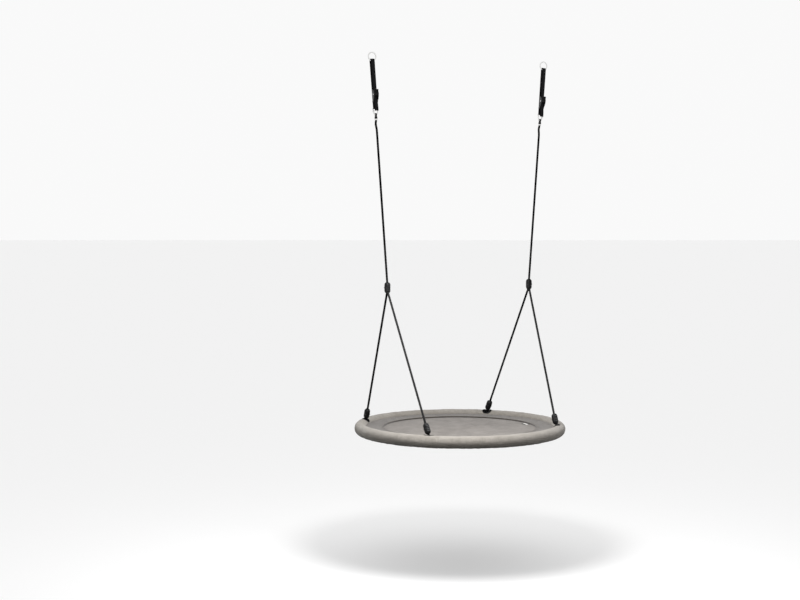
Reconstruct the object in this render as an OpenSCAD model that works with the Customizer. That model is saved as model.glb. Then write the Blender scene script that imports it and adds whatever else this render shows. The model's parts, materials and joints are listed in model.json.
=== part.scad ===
// Saucer nest swing: a padded ring seat on four rope legs, two hanging ropes and two webbing loops.
// X runs along the line between the two hanging rings, Y towards the back, Z up.
// The origin is under the middle of the seat, level with the underside of the seat ring.

/* [Seat] */
// Outer diameter of the seat, over the cover
seat_d = 1000; // [950:5:1050]
// Diameter of the padded rim, over the cover
rim_d = 58; // [56:1:62]
// Outer diameter of the steel tube in the rim
tube_d = 32; // [30:0.5:32]
// Wall of the steel tube
tube_wall = 1.5; // [1.2:0.1:2]
// Thickness of the cover cloth
cloth_t = 1; // [0.8:0.1:1.2]
// Radius of the seam between the cover and the seat panel
seam_r = 365; // [350:5:390]
// Thickness of the woven seat panel
panel_t = 2.5; // [2:0.5:4]
// How far the seat panel's edge hangs below the seam
panel_drop = 6; // [3:0.5:8]
// How far the seat panel sags at its middle
panel_sag = 8; // [0:1:15]
// Angle of each rope leg's foot from the line through the hanging rings
leg_angle = 43.5; // [40:0.5:48]

/* [Ropes] */
// Diameter of every rope
rope_d = 10; // [8:0.5:10]
// Distance from the middle of the seat to each rope junction
junction_x = 387; // [375:1:400]
// Height of the middle of each rope junction above the middle of the rim
junction_h = 673.5; // [640:0.5:720]
// Width of a rope coupling
coupling_w = 28; // [27:0.5:30]
// Height of a rope coupling
coupling_h = 54; // [52:1:60]
// Thickness of a rope coupling, without its ribs
coupling_t = 24; // [23:0.5:26]

/* [Hangers] */
// Distance between the centres of the two hanging rings
hang_span = 930; // [900:1:960]
// Height of the hanging rings' centres above the middle of the rim
hang_h = 1726; // [1700:1:1800]
// Outer diameter of a hanging ring
ring_d = 44; // [42:1:48]
// Wire diameter of a hanging ring
ring_wire_d = 6; // [5:0.5:6]
// Width of the webbing
web_w = 20; // [18:1:20]
// Thickness of the webbing
web_t = 2; // [1.5:0.1:2]
// Length of the webbing loop, from hanging ring to link
web_loop = 216; // [210:1:240]
// Wire diameter of the quick link
link_wire_d = 5; // [4:0.5:5]

/* [Hidden] */

// Fits
run_gap = 0.3;            // between a moving piece and what it turns on
foam_gap = 0.3;           // between the foam and its neighbours
sleeve_gap = 0.1;         // between the tube and the sleeve inside it

// Seat levels and radii
rim_r = rim_d / 2;
rim_z = rim_r;
ring_r = seat_d / 2 - rim_r;            // centreline of the rim
tube_r = tube_d / 2;
seam_z = rim_z + 5;                     // height of the seam
under_z = seam_z - 4;                   // underside of the lower band at the seam
cover_band_rise = 7;                    // the upper band meets the rim this far above its middle
under_band_drop = 14;                   // and the lower band this far below it
binding_r = 1.7;
panel_r = seam_r - binding_r - 0.2;
foot_r = ring_r - 3;                    // where the rope legs aim, just inside the centreline
opening_w = 42;                         // cover opening, along the rim
opening_d = 28;                         // cover opening, across the rim
leg_out_h = 27;                         // height over the rim's middle where the legs leave the cover
trim_w = 3;                             // width of the tape round a cover opening
foam_cut = 3.4;                         // half angle of the gap in the foam at each opening
joint_cut = 0.06;                       // half angle of the gap between the tube halves

// Rope junctions and legs
rope_r = rope_d / 2;
cap_r = coupling_w / 2;
cap_c = coupling_h / 2 - cap_r;         // from the coupling's middle to its end spheres' centres
junction_z = rim_z + junction_h;
level_z = junction_z + cap_c;           // the junction turns under the main rope here
tilt_z = junction_z - cap_c;            // the rope legs turn under the junction here
leg_gap = 0.5;                          // from the junction's end to the rope legs
coupling_s = 61;                        // from the tube's centreline to a rim coupling's middle
turn_r = tube_r + rope_r + run_gap;     // radius of the rope turns round the tube
turn_step = 5.6;                        // half the spacing of the two turns

// Hangers, measured down the line from the hanging ring to the junction
hang_x = hang_span / 2;
hang_z = rim_z + hang_h;
ring_bend_r = (ring_d - ring_wire_d) / 2;
hook_rise = 1.9;                        // the swing axis, above the middle of the ring's lowest wire
axis_z = hang_z - ring_bend_r + hook_rise;
lean = atan2(hang_x - junction_x, axis_z - level_z);
hang_len = norm([hang_x - junction_x, axis_z - level_z]);
loop_r = ring_wire_d / 2 + 2.6;         // inside of the webbing's top loop
link_r = link_wire_d / 2;
bar_loop_r = link_r + run_gap;          // inside of the webbing's bottom loop
link_bend_r = 9.3;                      // bend at the foot of the link
link_foot = web_loop + 30;              // depth of the link's lowest wire
link_bend_d = link_foot - link_bend_r;  // depth of the centre of that bend
link_side = 12;                         // angle of the link's sides
link_corner_x = (link_bend_r + (link_bend_d - web_loop) * sin(link_side)) / cos(link_side);
link_side_len = link_corner_x * sin(link_side) + (link_bend_d - web_loop) * cos(link_side);
link_bead_r = link_r + 0.2;             // the forged beads where the link's wire turns
sleeve_len = 9;
sleeve_r = 4.4;
sleeve_mid = 7;                         // from the foot bend to the middle of the screw sleeve
fitting_r = 6.5;
fitting_end = link_foot + 18;           // depth of the foot of the rope end fitting
collar_end = fitting_end + 6;
rope_end_gap = 3.5;                     // from the main rope's end to the junction

// Buckle, in the plane across the webbing: front is -Y, depths as above
strap_front = loop_r + web_t / 2;       // middle of the front layer, in front of the line
buckle_top = 131;
buckle_end = 184;
floor_t = 1.5;
cheek_t = 1.5;
cheek_x = web_w / 2 + 1;                // inner face of a cheek
floor_y = -strap_front + web_t / 2 + run_gap;
bar_y = -2.2;
bar_depth = 188;
bar_r = 2;
cam_y = -14.4;
cam_depth = 154;
cam_r = 6.3;
cam_pin_r = 2;
spring_room = 9;                        // width of the recess for the spring inside the cam
tail_end = web_loop + 7;

// Places of the four rope legs: side is -1 left and 1 right, face is -1 front and 1 back
function leg_turn(side, face) = atan2(face * sin(leg_angle), side * cos(leg_angle));
function leg_foot(side, face) =
    [foot_r * side * cos(leg_angle), foot_r * face * sin(leg_angle), rim_z];
function leg_top(side) = [side * junction_x, 0, tilt_z];
function leg_vector(side, face) = leg_top(side) - leg_foot(side, face);
function azimuth(v) = atan2(v[1], v[0]);
function slant(v) = acos(v[2] / norm(v));

// Where a rope leg comes out through the cover
leg_out = leg_foot(1, 1) + leg_vector(1, 1) * leg_out_h / leg_vector(1, 1)[2];
opening_angle = azimuth(leg_out);
opening_r = norm([leg_out[0], leg_out[1]]);

// ---------- helpers ----------

// Places its children down the hanging line on one side, with Z up the line
module hanger(side, depth = 0) {
    mirror([side < 0 ? 1 : 0, 0, 0])
        translate([hang_x, 0, axis_z])
            rotate([0, lean, 0])
                translate([0, 0, -depth])
                    children();
}

// Places its children along a rope leg, with Z up the leg and X facing the front or the back
module on_leg(side, face, along = 0) {
    v = leg_vector(side, face);
    translate(leg_foot(side, face))
        rotate([0, slant(v), azimuth(v)])
            rotate([0, 0, face * 90 - azimuth(v)])
                translate([0, 0, along])
                    children();
}

// Places its children at a rope junction, with X facing the front on the left, the back on the right
module at_junction(side) {
    translate([side * junction_x, 0, junction_z])
        rotate([0, 0, side * 90])
            children();
}

// Extrudes a profile drawn in the plane across the webbing (Y, Z) along X, centred
module across(width) {
    rotate([90, 0, 90])
        linear_extrude(width, center = true)
            children();
}

// A flat strip of webbing seen from its edge, through a list of points
module strip(points, t) {
    for (i = [0 : len(points) - 2]) {
        a = points[i];
        b = points[i + 1];
        translate((a + b) / 2)
            rotate(atan2(b[1] - a[1], b[0] - a[0]))
                square([norm(b - a), t], center = true);
    }
    for (p = points)
        translate(p)
            circle(d = t, $fn = 24);
}

// A half ring of webbing seen from its edge, over the top or under the bottom
module half_loop(inner_r, t, up = true) {
    intersection() {
        difference() {
            circle(inner_r + t, $fn = 48);
            circle(inner_r, $fn = 48);
        }
        translate([0, (up ? 1 : -1) * (inner_r + t)])
            square(2 * (inner_r + t), center = true);
    }
}

// A ring of round section, or part of one, about Z
module round_ring(r, section_r, start = 0, sweep = 360) {
    rotate([0, 0, start])
        rotate_extrude(angle = sweep, $fn = 180)
            translate([r, 0])
                circle(section_r, $fn = 48);
}

// A hollow ring of round section, or part of one, about Z
module tube_ring(r, outer_r, inner_r, start = 0, sweep = 360) {
    rotate([0, 0, start])
        rotate_extrude(angle = sweep, $fn = 180)
            translate([r, 0])
                difference() {
                    circle(outer_r, $fn = 64);
                    circle(inner_r, $fn = 64);
                }
}

// ---------- hanging rings and webbing ----------

module hang_ring(side) {
    color("silver")
        translate([side * hang_x, 0, hang_z])
            rotate([90, 0, 0])
                round_ring(ring_bend_r, ring_wire_d / 2);
}

module strap(side) {
    bar_mid = bar_loop_r + web_t / 2;
    fold_mid = bar_r + run_gap + web_t / 2;
    color("black")
        hanger(side)
            across(web_w) {
                half_loop(loop_r, web_t);
                strip([[strap_front, 0], [bar_mid, -web_loop]], web_t);
                strip([[-strap_front, 0], [-strap_front, -cam_depth - 8],
                       [-strap_front - 3, -bar_depth - 4], [-strap_front - 5.5, -tail_end]], web_t);
                translate([0, -web_loop])
                    half_loop(bar_loop_r, web_t, up = false);
                strip([[-bar_mid, -web_loop], [bar_y - fold_mid, -bar_depth]], web_t);
                translate([bar_y, -bar_depth])
                    half_loop(bar_r + run_gap, web_t);
            }
}

// ---------- cam buckles ----------

module buckle_frame(side) {
    cheek = [[floor_y + floor_t, -buckle_top], [-9, -buckle_top], [-19.5, -buckle_top - 11],
             [-21, -cam_depth], [-16, -buckle_end + 12], [-8.4, -buckle_end],
             [bar_y - 4, -bar_depth - 4], [bar_y + 4, -bar_depth - 4], [bar_y + 4, -buckle_end + 2],
             [floor_y + floor_t, -buckle_end + 2]];
    color("dimgray")
        hanger(side)
            difference() {
                union() {
                    for (x = [-1, 1])
                        translate([x * (cheek_x + cheek_t / 2), 0, 0])
                            across(cheek_t)
                                polygon(cheek);
                    translate([0, floor_y + floor_t / 2, -(buckle_top + buckle_end - 2) / 2])
                        cube([2 * cheek_x + 1, floor_t, buckle_end - buckle_top - 2], center = true);
                    translate([0, bar_y, -bar_depth])
                        rotate([0, 90, 0])
                            cylinder(h = 2 * cheek_x + 1, r = bar_r, center = true, $fn = 32);
                }
                translate([0, cam_y, -cam_depth])
                    rotate([0, 90, 0])
                        cylinder(h = 60, r = cam_pin_r + 0.1, center = true, $fn = 32);
            }
}

module cam_lever(side) {
    plate_t = 2.6;
    reach = 23;
    color("black")
        hanger(side, cam_depth)
            translate([0, cam_y, 0])
                difference() {
                    across(2 * cheek_x - 0.8) {
                        circle(cam_r, $fn = 48);
                        strip([[-2.5, 0], [-7, reach - 3]], plate_t);
                        strip([[-7, reach - 3], [-9, reach - 1]], plate_t);
                    }
                    rotate([0, 90, 0])
                        cylinder(h = 60, r = cam_pin_r + 0.1, center = true, $fn = 32);
                    across(spring_room)
                        circle(4.2, $fn = 48);
                }
}

module cam_pin(side) {
    head_t = 1;
    color("silver")
        hanger(side, cam_depth)
            translate([0, cam_y, 0])
                rotate([0, 90, 0]) {
                    cylinder(h = 2 * (cheek_x + cheek_t) + 1, r = cam_pin_r, center = true, $fn = 32);
                    for (z = [-1, 1])
                        translate([0, 0, z * (cheek_x + cheek_t + head_t / 2 + 0.2)])
                            cylinder(h = head_t, r = cam_pin_r + 1, center = true, $fn = 32);
                }
}

// The torsion spring round the cam pin, as a stack of touching turns
module cam_spring(side) {
    wire_r = 0.5;
    coil_r = 3.1;
    pitch = 0.98;
    turns = 7;
    color("silver")
        hanger(side, cam_depth)
            translate([0, cam_y, 0])
                for (i = [0 : turns - 1])
                    translate([(i - (turns - 1) / 2) * pitch, 0, 0])
                        rotate([0, 90, 0])
                            round_ring(coil_r, wire_r);
}

// ---------- quick links ----------

// Places its children up the link's right-hand side, with Z along the wire, from the foot bend
module on_link_side(along = 0) {
    translate([0, 0, -link_bend_d])
        rotate([0, link_side, 0])
            translate([link_bend_r, 0, along])
                children();
}

module link(side) {
    mouth_gap = 1.5;
    color("gainsboro")
        hanger(side)
            difference() {
                union() {
                    translate([0, 0, -web_loop])
                        rotate([0, 90, 0])
                            cylinder(h = 2 * link_corner_x, r = link_r, center = true, $fn = 48);
                    for (turn = [0, 180])
                        rotate([0, 0, turn])
                            on_link_side() {
                                cylinder(h = link_side_len, r = link_r, $fn = 48);
                                sphere(link_bead_r, $fn = 48);
                                translate([0, 0, link_side_len])
                                    sphere(link_bead_r, $fn = 48);
                            }
                    translate([0, 0, -link_bend_d])
                        rotate([90, 0, 0])
                            round_ring(link_bend_r, link_r, 180 + link_side, 180 - 2 * link_side);
                }
                on_link_side(sleeve_mid)
                    cylinder(h = mouth_gap, r = link_r + 1, center = true, $fn = 32);
            }
}

module link_sleeve(side) {
    color("gainsboro")
        hanger(side)
            on_link_side(sleeve_mid)
                difference() {
                    cylinder(h = sleeve_len, r = sleeve_r, center = true, $fn = 6);
                    cylinder(h = sleeve_len + 2, r = link_r + 0.1, center = true, $fn = 32);
                }
}

// ---------- hanging ropes ----------

module rope_end(side) {
    lug_t = 6;
    lug_r = 7.6;
    hole_r = 4.2;
    color("black")
        hanger(side, link_foot)
            difference() {
                union() {
                    rotate([0, 90, 0])
                        cylinder(h = lug_t, r = lug_r, center = true, $fn = 48);
                    translate([0, 0, -(fitting_end - link_foot)])
                        cylinder(h = fitting_end - link_foot - 6.5, r = fitting_r, $fn = 48);
                }
                translate([0, 0, 0.4])
                    rotate([0, 90, 0])
                        cylinder(h = 40, r = hole_r, center = true, $fn = 48);
            }
}

module rope_collar(side) {
    color("gainsboro")
        hanger(side, collar_end)
            difference() {
                cylinder(h = collar_end - fitting_end, r = fitting_r + 0.6, $fn = 48);
                translate([0, 0, -1])
                    cylinder(h = 20, r = rope_r, $fn = 48);
            }
}

module main_rope(side) {
    end = hang_len - cap_r - rope_end_gap;
    color("black")
        hanger(side, end)
            cylinder(h = end - fitting_end, r = rope_r, $fn = 32);
}

// ---------- rope junctions and rim couplings ----------

// The coupling's outer shape: a flattened capsule
module coupling_form() {
    intersection() {
        union() {
            cylinder(h = 2 * cap_c, r = cap_r, center = true, $fn = 64);
            for (z = [-1, 1])
                translate([0, 0, z * cap_c])
                    sphere(cap_r, $fn = 64);
        }
        cube([coupling_t, 2 * coupling_w, 2 * coupling_h], center = true);
    }
}

module screw_places() {
    for (y = [-1, 1])
        translate([0, y * 9.6, 0])
            rotate([0, 90, 0])
                children();
}

// One half of a coupling: the ribbed half (+X) or the plain half (-X), which has an oval rim
module coupling_half(ribbed) {
    dir = ribbed ? 1 : -1;
    seam_gap = 0.1;
    rib_pitch = 8;
    rim_w = 6.6;                        // half width of the raised oval
    rim_straight = 23;                  // length of its straight sides
    color("black")
        difference() {
            union() {
                intersection() {
                    coupling_form();
                    translate([dir * (coupling_t + seam_gap), 0, 0])
                        cube([2 * coupling_t, 2 * coupling_w, 2 * coupling_h], center = true);
                }
                if (ribbed)
                    for (i = [-1.5 : 1 : 1.5])
                        translate([coupling_t / 2 + 0.3, 0, i * rib_pitch])
                            cube([2.2, 13, 2.6], center = true);
                else
                    translate([-coupling_t / 2 - 0.3, 0, 0])
                        rotate([0, 90, 0])
                            linear_extrude(1.8, center = true)
                                difference() {
                                    oval(rim_w, rim_straight);
                                    oval(rim_w - 1.7, rim_straight);
                                }
            }
            cylinder(h = 2 * coupling_h, r = rope_r + 0.1, center = true, $fn = 48);
            screw_places()
                cylinder(h = 60, r = 1.6, center = true, $fn = 24);
            translate([-coupling_t / 2, 0, 0])
                screw_places()
                    cylinder(h = 5, r = 3.2, center = true, $fn = 24);
        }
}

// An oval outline of a given half width and straight length
module oval(r, straight) {
    square([straight, 2 * r], center = true);
    for (x = [-1, 1])
        translate([x * straight / 2, 0])
            circle(r, $fn = 48);
}

module coupling_screw_pair() {
    color("dimgray")
        screw_places() {
            cylinder(h = coupling_t - 5, r = 1.5, center = true, $fn = 24);
            translate([0, 0, -coupling_t / 2 + 1.5])
                difference() {
                    cylinder(h = 2, r = 3, center = true, $fn = 24);
                    translate([0, 0, -1])
                        cylinder(h = 2, r = 1.3, center = true, $fn = 6);
                }
        }
}

// The ropes' joined ends, held inside the junction
module rope_splice(side) {
    color("black")
        at_junction(side)
            cylinder(h = 2 * cap_c + 12, r = rope_r, center = true, $fn = 32);
}

// ---------- rope legs ----------

module leg_rope(side, face) {
    v = leg_vector(side, face);
    turn = leg_turn(side, face);
    start = turn_r;
    color("dimgray") {
        on_leg(side, face, start)
            cylinder(h = norm(v) - cap_r - leg_gap - start, r = rope_r, $fn = 32);
        for (i = [-1, 1])
            translate(leg_foot(side, face))
                rotate([0, 0, turn])
                    translate([ring_r - foot_r, i * turn_step, 0])
                        rotate([90, 0, 0])
                            round_ring(turn_r, rope_r);
    }
}

// ---------- steel rim and foam ----------

module screw_holes(side) {
    for (i = [-1, 1])
        rotate([0, 0, (side < 0 ? 180 : 0) + i * 4])
            translate([ring_r - tube_r, 0, rim_z])
                rotate([0, 90, 0])
                    children();
}

module rim_tube(face) {
    start = face < 0 ? 180 : 0;
    color("gray")
        difference() {
            translate([0, 0, rim_z])
                tube_ring(ring_r, tube_r, tube_r - tube_wall, start + joint_cut, 180 - 2 * joint_cut);
            for (side = [-1, 1])
                screw_holes(side)
                    cylinder(h = 8, r = 2.6, center = true, $fn = 24);
        }
}

module tube_sleeve(side) {
    half_angle = 8;
    sleeve_wall = 2;
    color("gray")
        difference() {
            translate([0, 0, rim_z])
                tube_ring(ring_r, tube_r - tube_wall - sleeve_gap,
                          tube_r - tube_wall - sleeve_gap - sleeve_wall,
                          (side < 0 ? 180 : 0) - half_angle, 2 * half_angle);
            screw_holes(side)
                cylinder(h = 9, r = 2.6, center = true, $fn = 24);
        }
}

module sleeve_screws() {
    color("silver")
        for (side = [-1, 1])
            screw_holes(side) {
                translate([0, 0, -1.2])
                    cylinder(h = 9.4, r = 2.5, $fn = 24);
                translate([0, 0, -1.9])
                    cylinder(h = 1.8, r = 4.2, $fn = 24);
            }
}

module foam(start, sweep) {
    color("lightgray")
        difference() {
            translate([0, 0, rim_z])
                tube_ring(ring_r, rim_r - cloth_t - foam_gap, tube_r + foam_gap,
                          start + foam_cut, sweep - 2 * foam_cut);
            for (side = [-1, 1])
                screw_holes(side)
                    translate([0, 0, -4])
                        cylinder(h = 8, r = 4.6, $fn = 24);
        }
}

// ---------- cover and seat ----------

// Places its children where each rope leg leaves the cover, with X out of the seat
module openings() {
    for (half = [0, 180], face = [-1, 1])
        rotate([0, 0, half + face * opening_angle])
            translate([opening_r, 0, rim_z])
                children();
}

module opening_outline(grow) {
    rotate(90)
        oval(opening_d / 2 + grow, opening_w - opening_d);
}

module rim_cover() {
    color([0.50, 0.47, 0.44])
        difference() {
            translate([0, 0, rim_z])
                tube_ring(ring_r, rim_r, rim_r - cloth_t);
            openings()
                linear_extrude(2 * rim_r)
                    opening_outline(0);
        }
}

// Black tape that binds the edge of each cover opening
module opening_trims() {
    tape_t = 0.8;
    color("black")
        intersection() {
            translate([0, 0, rim_z])
                tube_ring(ring_r, rim_r + tape_t, rim_r + 0.05);
            openings()
                linear_extrude(2 * rim_r)
                    difference() {
                        opening_outline(trim_w);
                        opening_outline(0);
                    }
        }
}

// Radius where a band meets the rim at a height above or below the rim's middle
function band_r(height) = ring_r - sqrt(rim_r * rim_r - height * height) - 0.4;

// A coned band of cloth from the rim to the seam
module band(outer_r, outer_z, inner_z) {
    rotate_extrude($fn = 180)
        polygon([[seam_r + 0.4, inner_z], [outer_r, outer_z],
                 [outer_r, outer_z + cloth_t], [seam_r + 0.4, inner_z + cloth_t]]);
}

module cover_band() {
    color([0.46, 0.43, 0.40])
        band(band_r(cover_band_rise), rim_z + cover_band_rise, seam_z);
}

module under_band() {
    color([0.46, 0.43, 0.40])
        band(band_r(under_band_drop), rim_z - under_band_drop - cloth_t, under_z);
}

// The dark tape down the step from the seam to the panel
module seam_binding() {
    corner = 0.8;
    inner = seam_r - 2 * binding_r + 0.1;
    outer = seam_r + 0.1;
    foot = seam_z - panel_drop - binding_r;
    top = seam_z + binding_r;
    color([0.25, 0.23, 0.21])
        rotate_extrude($fn = 180)
            polygon([[inner, foot + corner], [inner + corner, foot], [outer - corner, foot],
                     [outer, foot + corner], [outer, top - corner], [outer - corner, top],
                     [inner + corner, top], [inner, top - corner]]);
}

module seat_panel() {
    steps = 6;
    edge = panel_r - binding_r;
    edge_z = seam_z - panel_drop - panel_t / 2;
    function dish(r) = edge_z - panel_sag * (1 - pow(r / edge, 2));
    under = [for (i = [0 : steps]) [edge * i / steps, dish(edge * i / steps)]];
    over = [for (i = [steps : -1 : 0]) [edge * i / steps, dish(edge * i / steps) + panel_t]];
    color([0.52, 0.49, 0.46])
        rotate_extrude($fn = 180)
            polygon(concat(under, over));
}

// The zip under the cover, near the seam, with its slider
module cover_zip() {
    zip_r = seam_r + 22;
    zip_w = 14;
    slope = (under_z - rim_z + under_band_drop + cloth_t) / (band_r(under_band_drop) - seam_r);
    zip_z = under_z - slope * (zip_r - seam_r);
    color("black") {
        rotate([0, 0, 4])
            rotate_extrude(angle = 352, $fn = 180)
                polygon([for (p = [[-1, 0], [1, 0], [1, -1], [-1, -1]])
                         [zip_r + p[0] * zip_w / 2,
                          zip_z - slope * p[0] * zip_w / 2 - 0.3 + p[1] * 1.2]]);
        rotate([0, 0, 8])
            translate([zip_r, 0, zip_z - 3])
                cube([8, 12, 3.4], center = true);
    }
}

module seat_label() {
    label_turn = -7;
    label_size = [26, 42, 0.8];
    label_z = seam_z - panel_drop + panel_t / 2 + 0.6;
    color("dimgray")
        rotate([0, 0, label_turn])
            translate([seam_r - 2 * binding_r - 2 - label_size[0] / 2, 0, label_z])
                cube(label_size, center = true);
}

// ---------- the assembly ----------

hang_ring(-1);  // hang_ring_left
hang_ring(1);  // hang_ring_right
strap(-1);  // strap_left
strap(1);  // strap_right
buckle_frame(-1);  // buckle_frame_left
buckle_frame(1);  // buckle_frame_right
cam_lever(-1);  // cam_lever_left
cam_lever(1);  // cam_lever_right
cam_pin(-1);  // cam_pin_left
cam_pin(1);  // cam_pin_right
cam_spring(-1);  // cam_spring_left
cam_spring(1);  // cam_spring_right
link(-1);  // link_left
link(1);  // link_right
link_sleeve(-1);  // link_sleeve_left
link_sleeve(1);  // link_sleeve_right
rope_end(-1);  // rope_end_left
rope_end(1);  // rope_end_right
rope_collar(-1);  // rope_collar_left
rope_collar(1);  // rope_collar_right
main_rope(-1);  // main_rope_left
main_rope(1);  // main_rope_right
rope_splice(-1);  // rope_splice_left
rope_splice(1);  // rope_splice_right
at_junction(-1) coupling_half(true);  // junction_ribbed_left
at_junction(1) coupling_half(true);  // junction_ribbed_right
at_junction(-1) coupling_half(false);  // junction_plain_left
at_junction(1) coupling_half(false);  // junction_plain_right
for (side = [-1, 1]) at_junction(side) coupling_screw_pair();  // junction_screws
leg_rope(-1, -1);  // leg_rope_front_left
leg_rope(1, -1);  // leg_rope_front_right
leg_rope(-1, 1);  // leg_rope_back_left
leg_rope(1, 1);  // leg_rope_back_right
on_leg(-1, -1, coupling_s) coupling_half(true);  // coupling_ribbed_front_left
on_leg(1, -1, coupling_s) coupling_half(true);  // coupling_ribbed_front_right
on_leg(-1, 1, coupling_s) coupling_half(true);  // coupling_ribbed_back_left
on_leg(1, 1, coupling_s) coupling_half(true);  // coupling_ribbed_back_right
on_leg(-1, -1, coupling_s) coupling_half(false);  // coupling_plain_front_left
on_leg(1, -1, coupling_s) coupling_half(false);  // coupling_plain_front_right
on_leg(-1, 1, coupling_s) coupling_half(false);  // coupling_plain_back_left
on_leg(1, 1, coupling_s) coupling_half(false);  // coupling_plain_back_right
for (side = [-1, 1], face = [-1, 1]) on_leg(side, face, coupling_s) coupling_screw_pair();  // coupling_screws
rim_tube(-1);  // rim_tube_front
rim_tube(1);  // rim_tube_back
tube_sleeve(-1);  // tube_sleeve_left
tube_sleeve(1);  // tube_sleeve_right
sleeve_screws();
foam(180 + opening_angle, 180 - 2 * opening_angle);  // foam_front
foam(opening_angle, 180 - 2 * opening_angle);  // foam_back
foam(180 - opening_angle, 2 * opening_angle);  // foam_left
foam(-opening_angle, 2 * opening_angle);  // foam_right
rim_cover();
cover_band();
under_band();
seam_binding();
seat_panel();
opening_trims();
cover_zip();
seat_label();
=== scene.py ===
"""The looks of the saucer nest swing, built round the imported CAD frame. Metres, Z up."""
import json
import math
from contextlib import contextmanager

import bmesh
import bpy
import numpy as np
from mathutils import Matrix, Vector, noise


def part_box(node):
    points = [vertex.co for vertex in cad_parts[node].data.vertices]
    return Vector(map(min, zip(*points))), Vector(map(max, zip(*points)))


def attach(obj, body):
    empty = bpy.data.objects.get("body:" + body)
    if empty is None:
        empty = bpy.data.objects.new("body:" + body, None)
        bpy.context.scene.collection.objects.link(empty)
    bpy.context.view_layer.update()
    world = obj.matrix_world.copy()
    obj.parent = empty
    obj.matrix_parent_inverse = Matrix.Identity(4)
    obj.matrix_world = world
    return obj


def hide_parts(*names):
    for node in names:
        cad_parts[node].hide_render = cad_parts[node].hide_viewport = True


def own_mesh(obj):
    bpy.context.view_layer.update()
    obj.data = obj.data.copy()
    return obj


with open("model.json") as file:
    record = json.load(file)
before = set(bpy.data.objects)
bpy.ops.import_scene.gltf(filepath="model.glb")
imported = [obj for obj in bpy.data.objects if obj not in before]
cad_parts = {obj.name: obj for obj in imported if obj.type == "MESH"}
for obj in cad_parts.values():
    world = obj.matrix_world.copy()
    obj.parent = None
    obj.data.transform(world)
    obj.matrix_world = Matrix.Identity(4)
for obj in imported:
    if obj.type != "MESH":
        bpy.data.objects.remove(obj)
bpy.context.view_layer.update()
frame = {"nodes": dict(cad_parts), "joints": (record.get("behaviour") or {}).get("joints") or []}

SIDES = {"left": -1, "right": 1}
FACES = {"front": -1, "back": 1}
JOINTS = {j["name"]: j for j in frame["joints"]}

# ---------- places and sizes, from the frame ----------


def box_mid(node):
    lo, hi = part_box(node)
    return (lo + hi) / 2


rim_lo, rim_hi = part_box("rim_cover")
SEAT_R = (rim_hi.x - rim_lo.x) / 2
RIM_R = (rim_hi.z - rim_lo.z) / 2
RIM_Z = (rim_hi.z + rim_lo.z) / 2
RING_R = SEAT_R - RIM_R                     # centreline of the rim
TUBE_R = (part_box("rim_tube_front")[1].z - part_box("rim_tube_front")[0].z) / 2
SEAM_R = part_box("seam_binding")[1].x        # seam between the cover band and the panel
SEAM_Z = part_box("seam_binding")[1].z
PANEL_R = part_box("seat_panel")[1].x
PANEL_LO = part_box("seat_panel")[0].z        # underside of the panel at its middle
PANEL_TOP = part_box("seat_panel")[1].z
PANEL_T = 0.0025
COVER_BAND_RISE = 0.007                     # the upper band meets the rim this far above its middle
UNDER_BAND_DROP = 0.014                     # and the lower band this far below it

HANG_X = box_mid("hang_ring_right").x
HANG_Z = box_mid("hang_ring_right").z
AXIS_Z = JOINTS["swing"]["pos_m"][2]
JUNCTION_X = -JOINTS["junction_level"]["pos_m"][0]
LEVEL_Z = JOINTS["junction_level"]["pos_m"][2]
TILT_Z = JOINTS["seat_tilt"]["pos_m"][2]
JUNCTION_Z = (LEVEL_Z + TILT_Z) / 2
LEAN = math.atan2(HANG_X - JUNCTION_X, AXIS_Z - LEVEL_Z)
HANG_LEN = math.hypot(HANG_X - JUNCTION_X, AXIS_Z - LEVEL_Z)

ROPE_R = 0.005
BRAID = 6                                   # strands each way round a rope
BRAID_CELL = 0.0062
CAP_R = 0.014                               # end radius of a coupling
CAP_C = 0.013                               # from its middle to the centres of its round ends
COUPLING_T = 0.024
COUPLING_ALONG = 0.061                      # from the tube's centreline up the leg
FOOT_R = RING_R - 0.003
LEG_ANGLE = math.radians(43.5)
OPENING_W, OPENING_D = 0.042, 0.028

WEB_W, WEB_T = 0.020, 0.002
WEB_GAP = 0.0003                            # between the webbing and a bar
WEB_LOOP = 0.216                            # from the swing axis to the link's bar
STRAP_Y = 0.0066                            # middle of each webbing layer at the ring
BUCKLE_TOP = 0.131                          # depths down the hanging line
BUCKLE_END = 0.184
CAM_DEPTH, CAM_Y, CAM_R = 0.154, -0.0144, 0.0063
BAR_DEPTH, BAR_Y, BAR_R = 0.188, -0.0022, 0.002
CHEEK_X, CHEEK_T = 0.011, 0.0015
LINK_R = 0.0025
LINK_FOOT = 0.246
LINK_BEND_R = 0.0093
LINK_SIDE = math.radians(12)
FITTING_R = 0.0065
FITTING_END = 0.264
COLLAR_END = 0.270

# ---------- camera, floor and light ----------


def make_camera():
    data = bpy.data.cameras.new("camera")
    data.lens = 68
    data.sensor_width = 36
    data.clip_end = 100
    camera = bpy.data.objects.new("camera", data)
    camera.location = (-3.6205, -6.1471, 1.0360)
    camera.rotation_euler = (math.radians(90 - 3.214), 0, math.radians(-28.224))
    bpy.context.collection.objects.link(camera)
    bpy.context.scene.camera = camera


def area_light(name, place, target, size, power):
    data = bpy.data.lights.new(name, "AREA")
    data.shape = "DISK"
    data.size = size
    data.energy = power
    light = bpy.data.objects.new(name, data)
    light.location = place
    light.rotation_euler = (Vector(target) - Vector(place)).to_track_quat("-Z", "Y").to_euler()
    light.visible_camera = False
    bpy.context.collection.objects.link(light)


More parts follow.
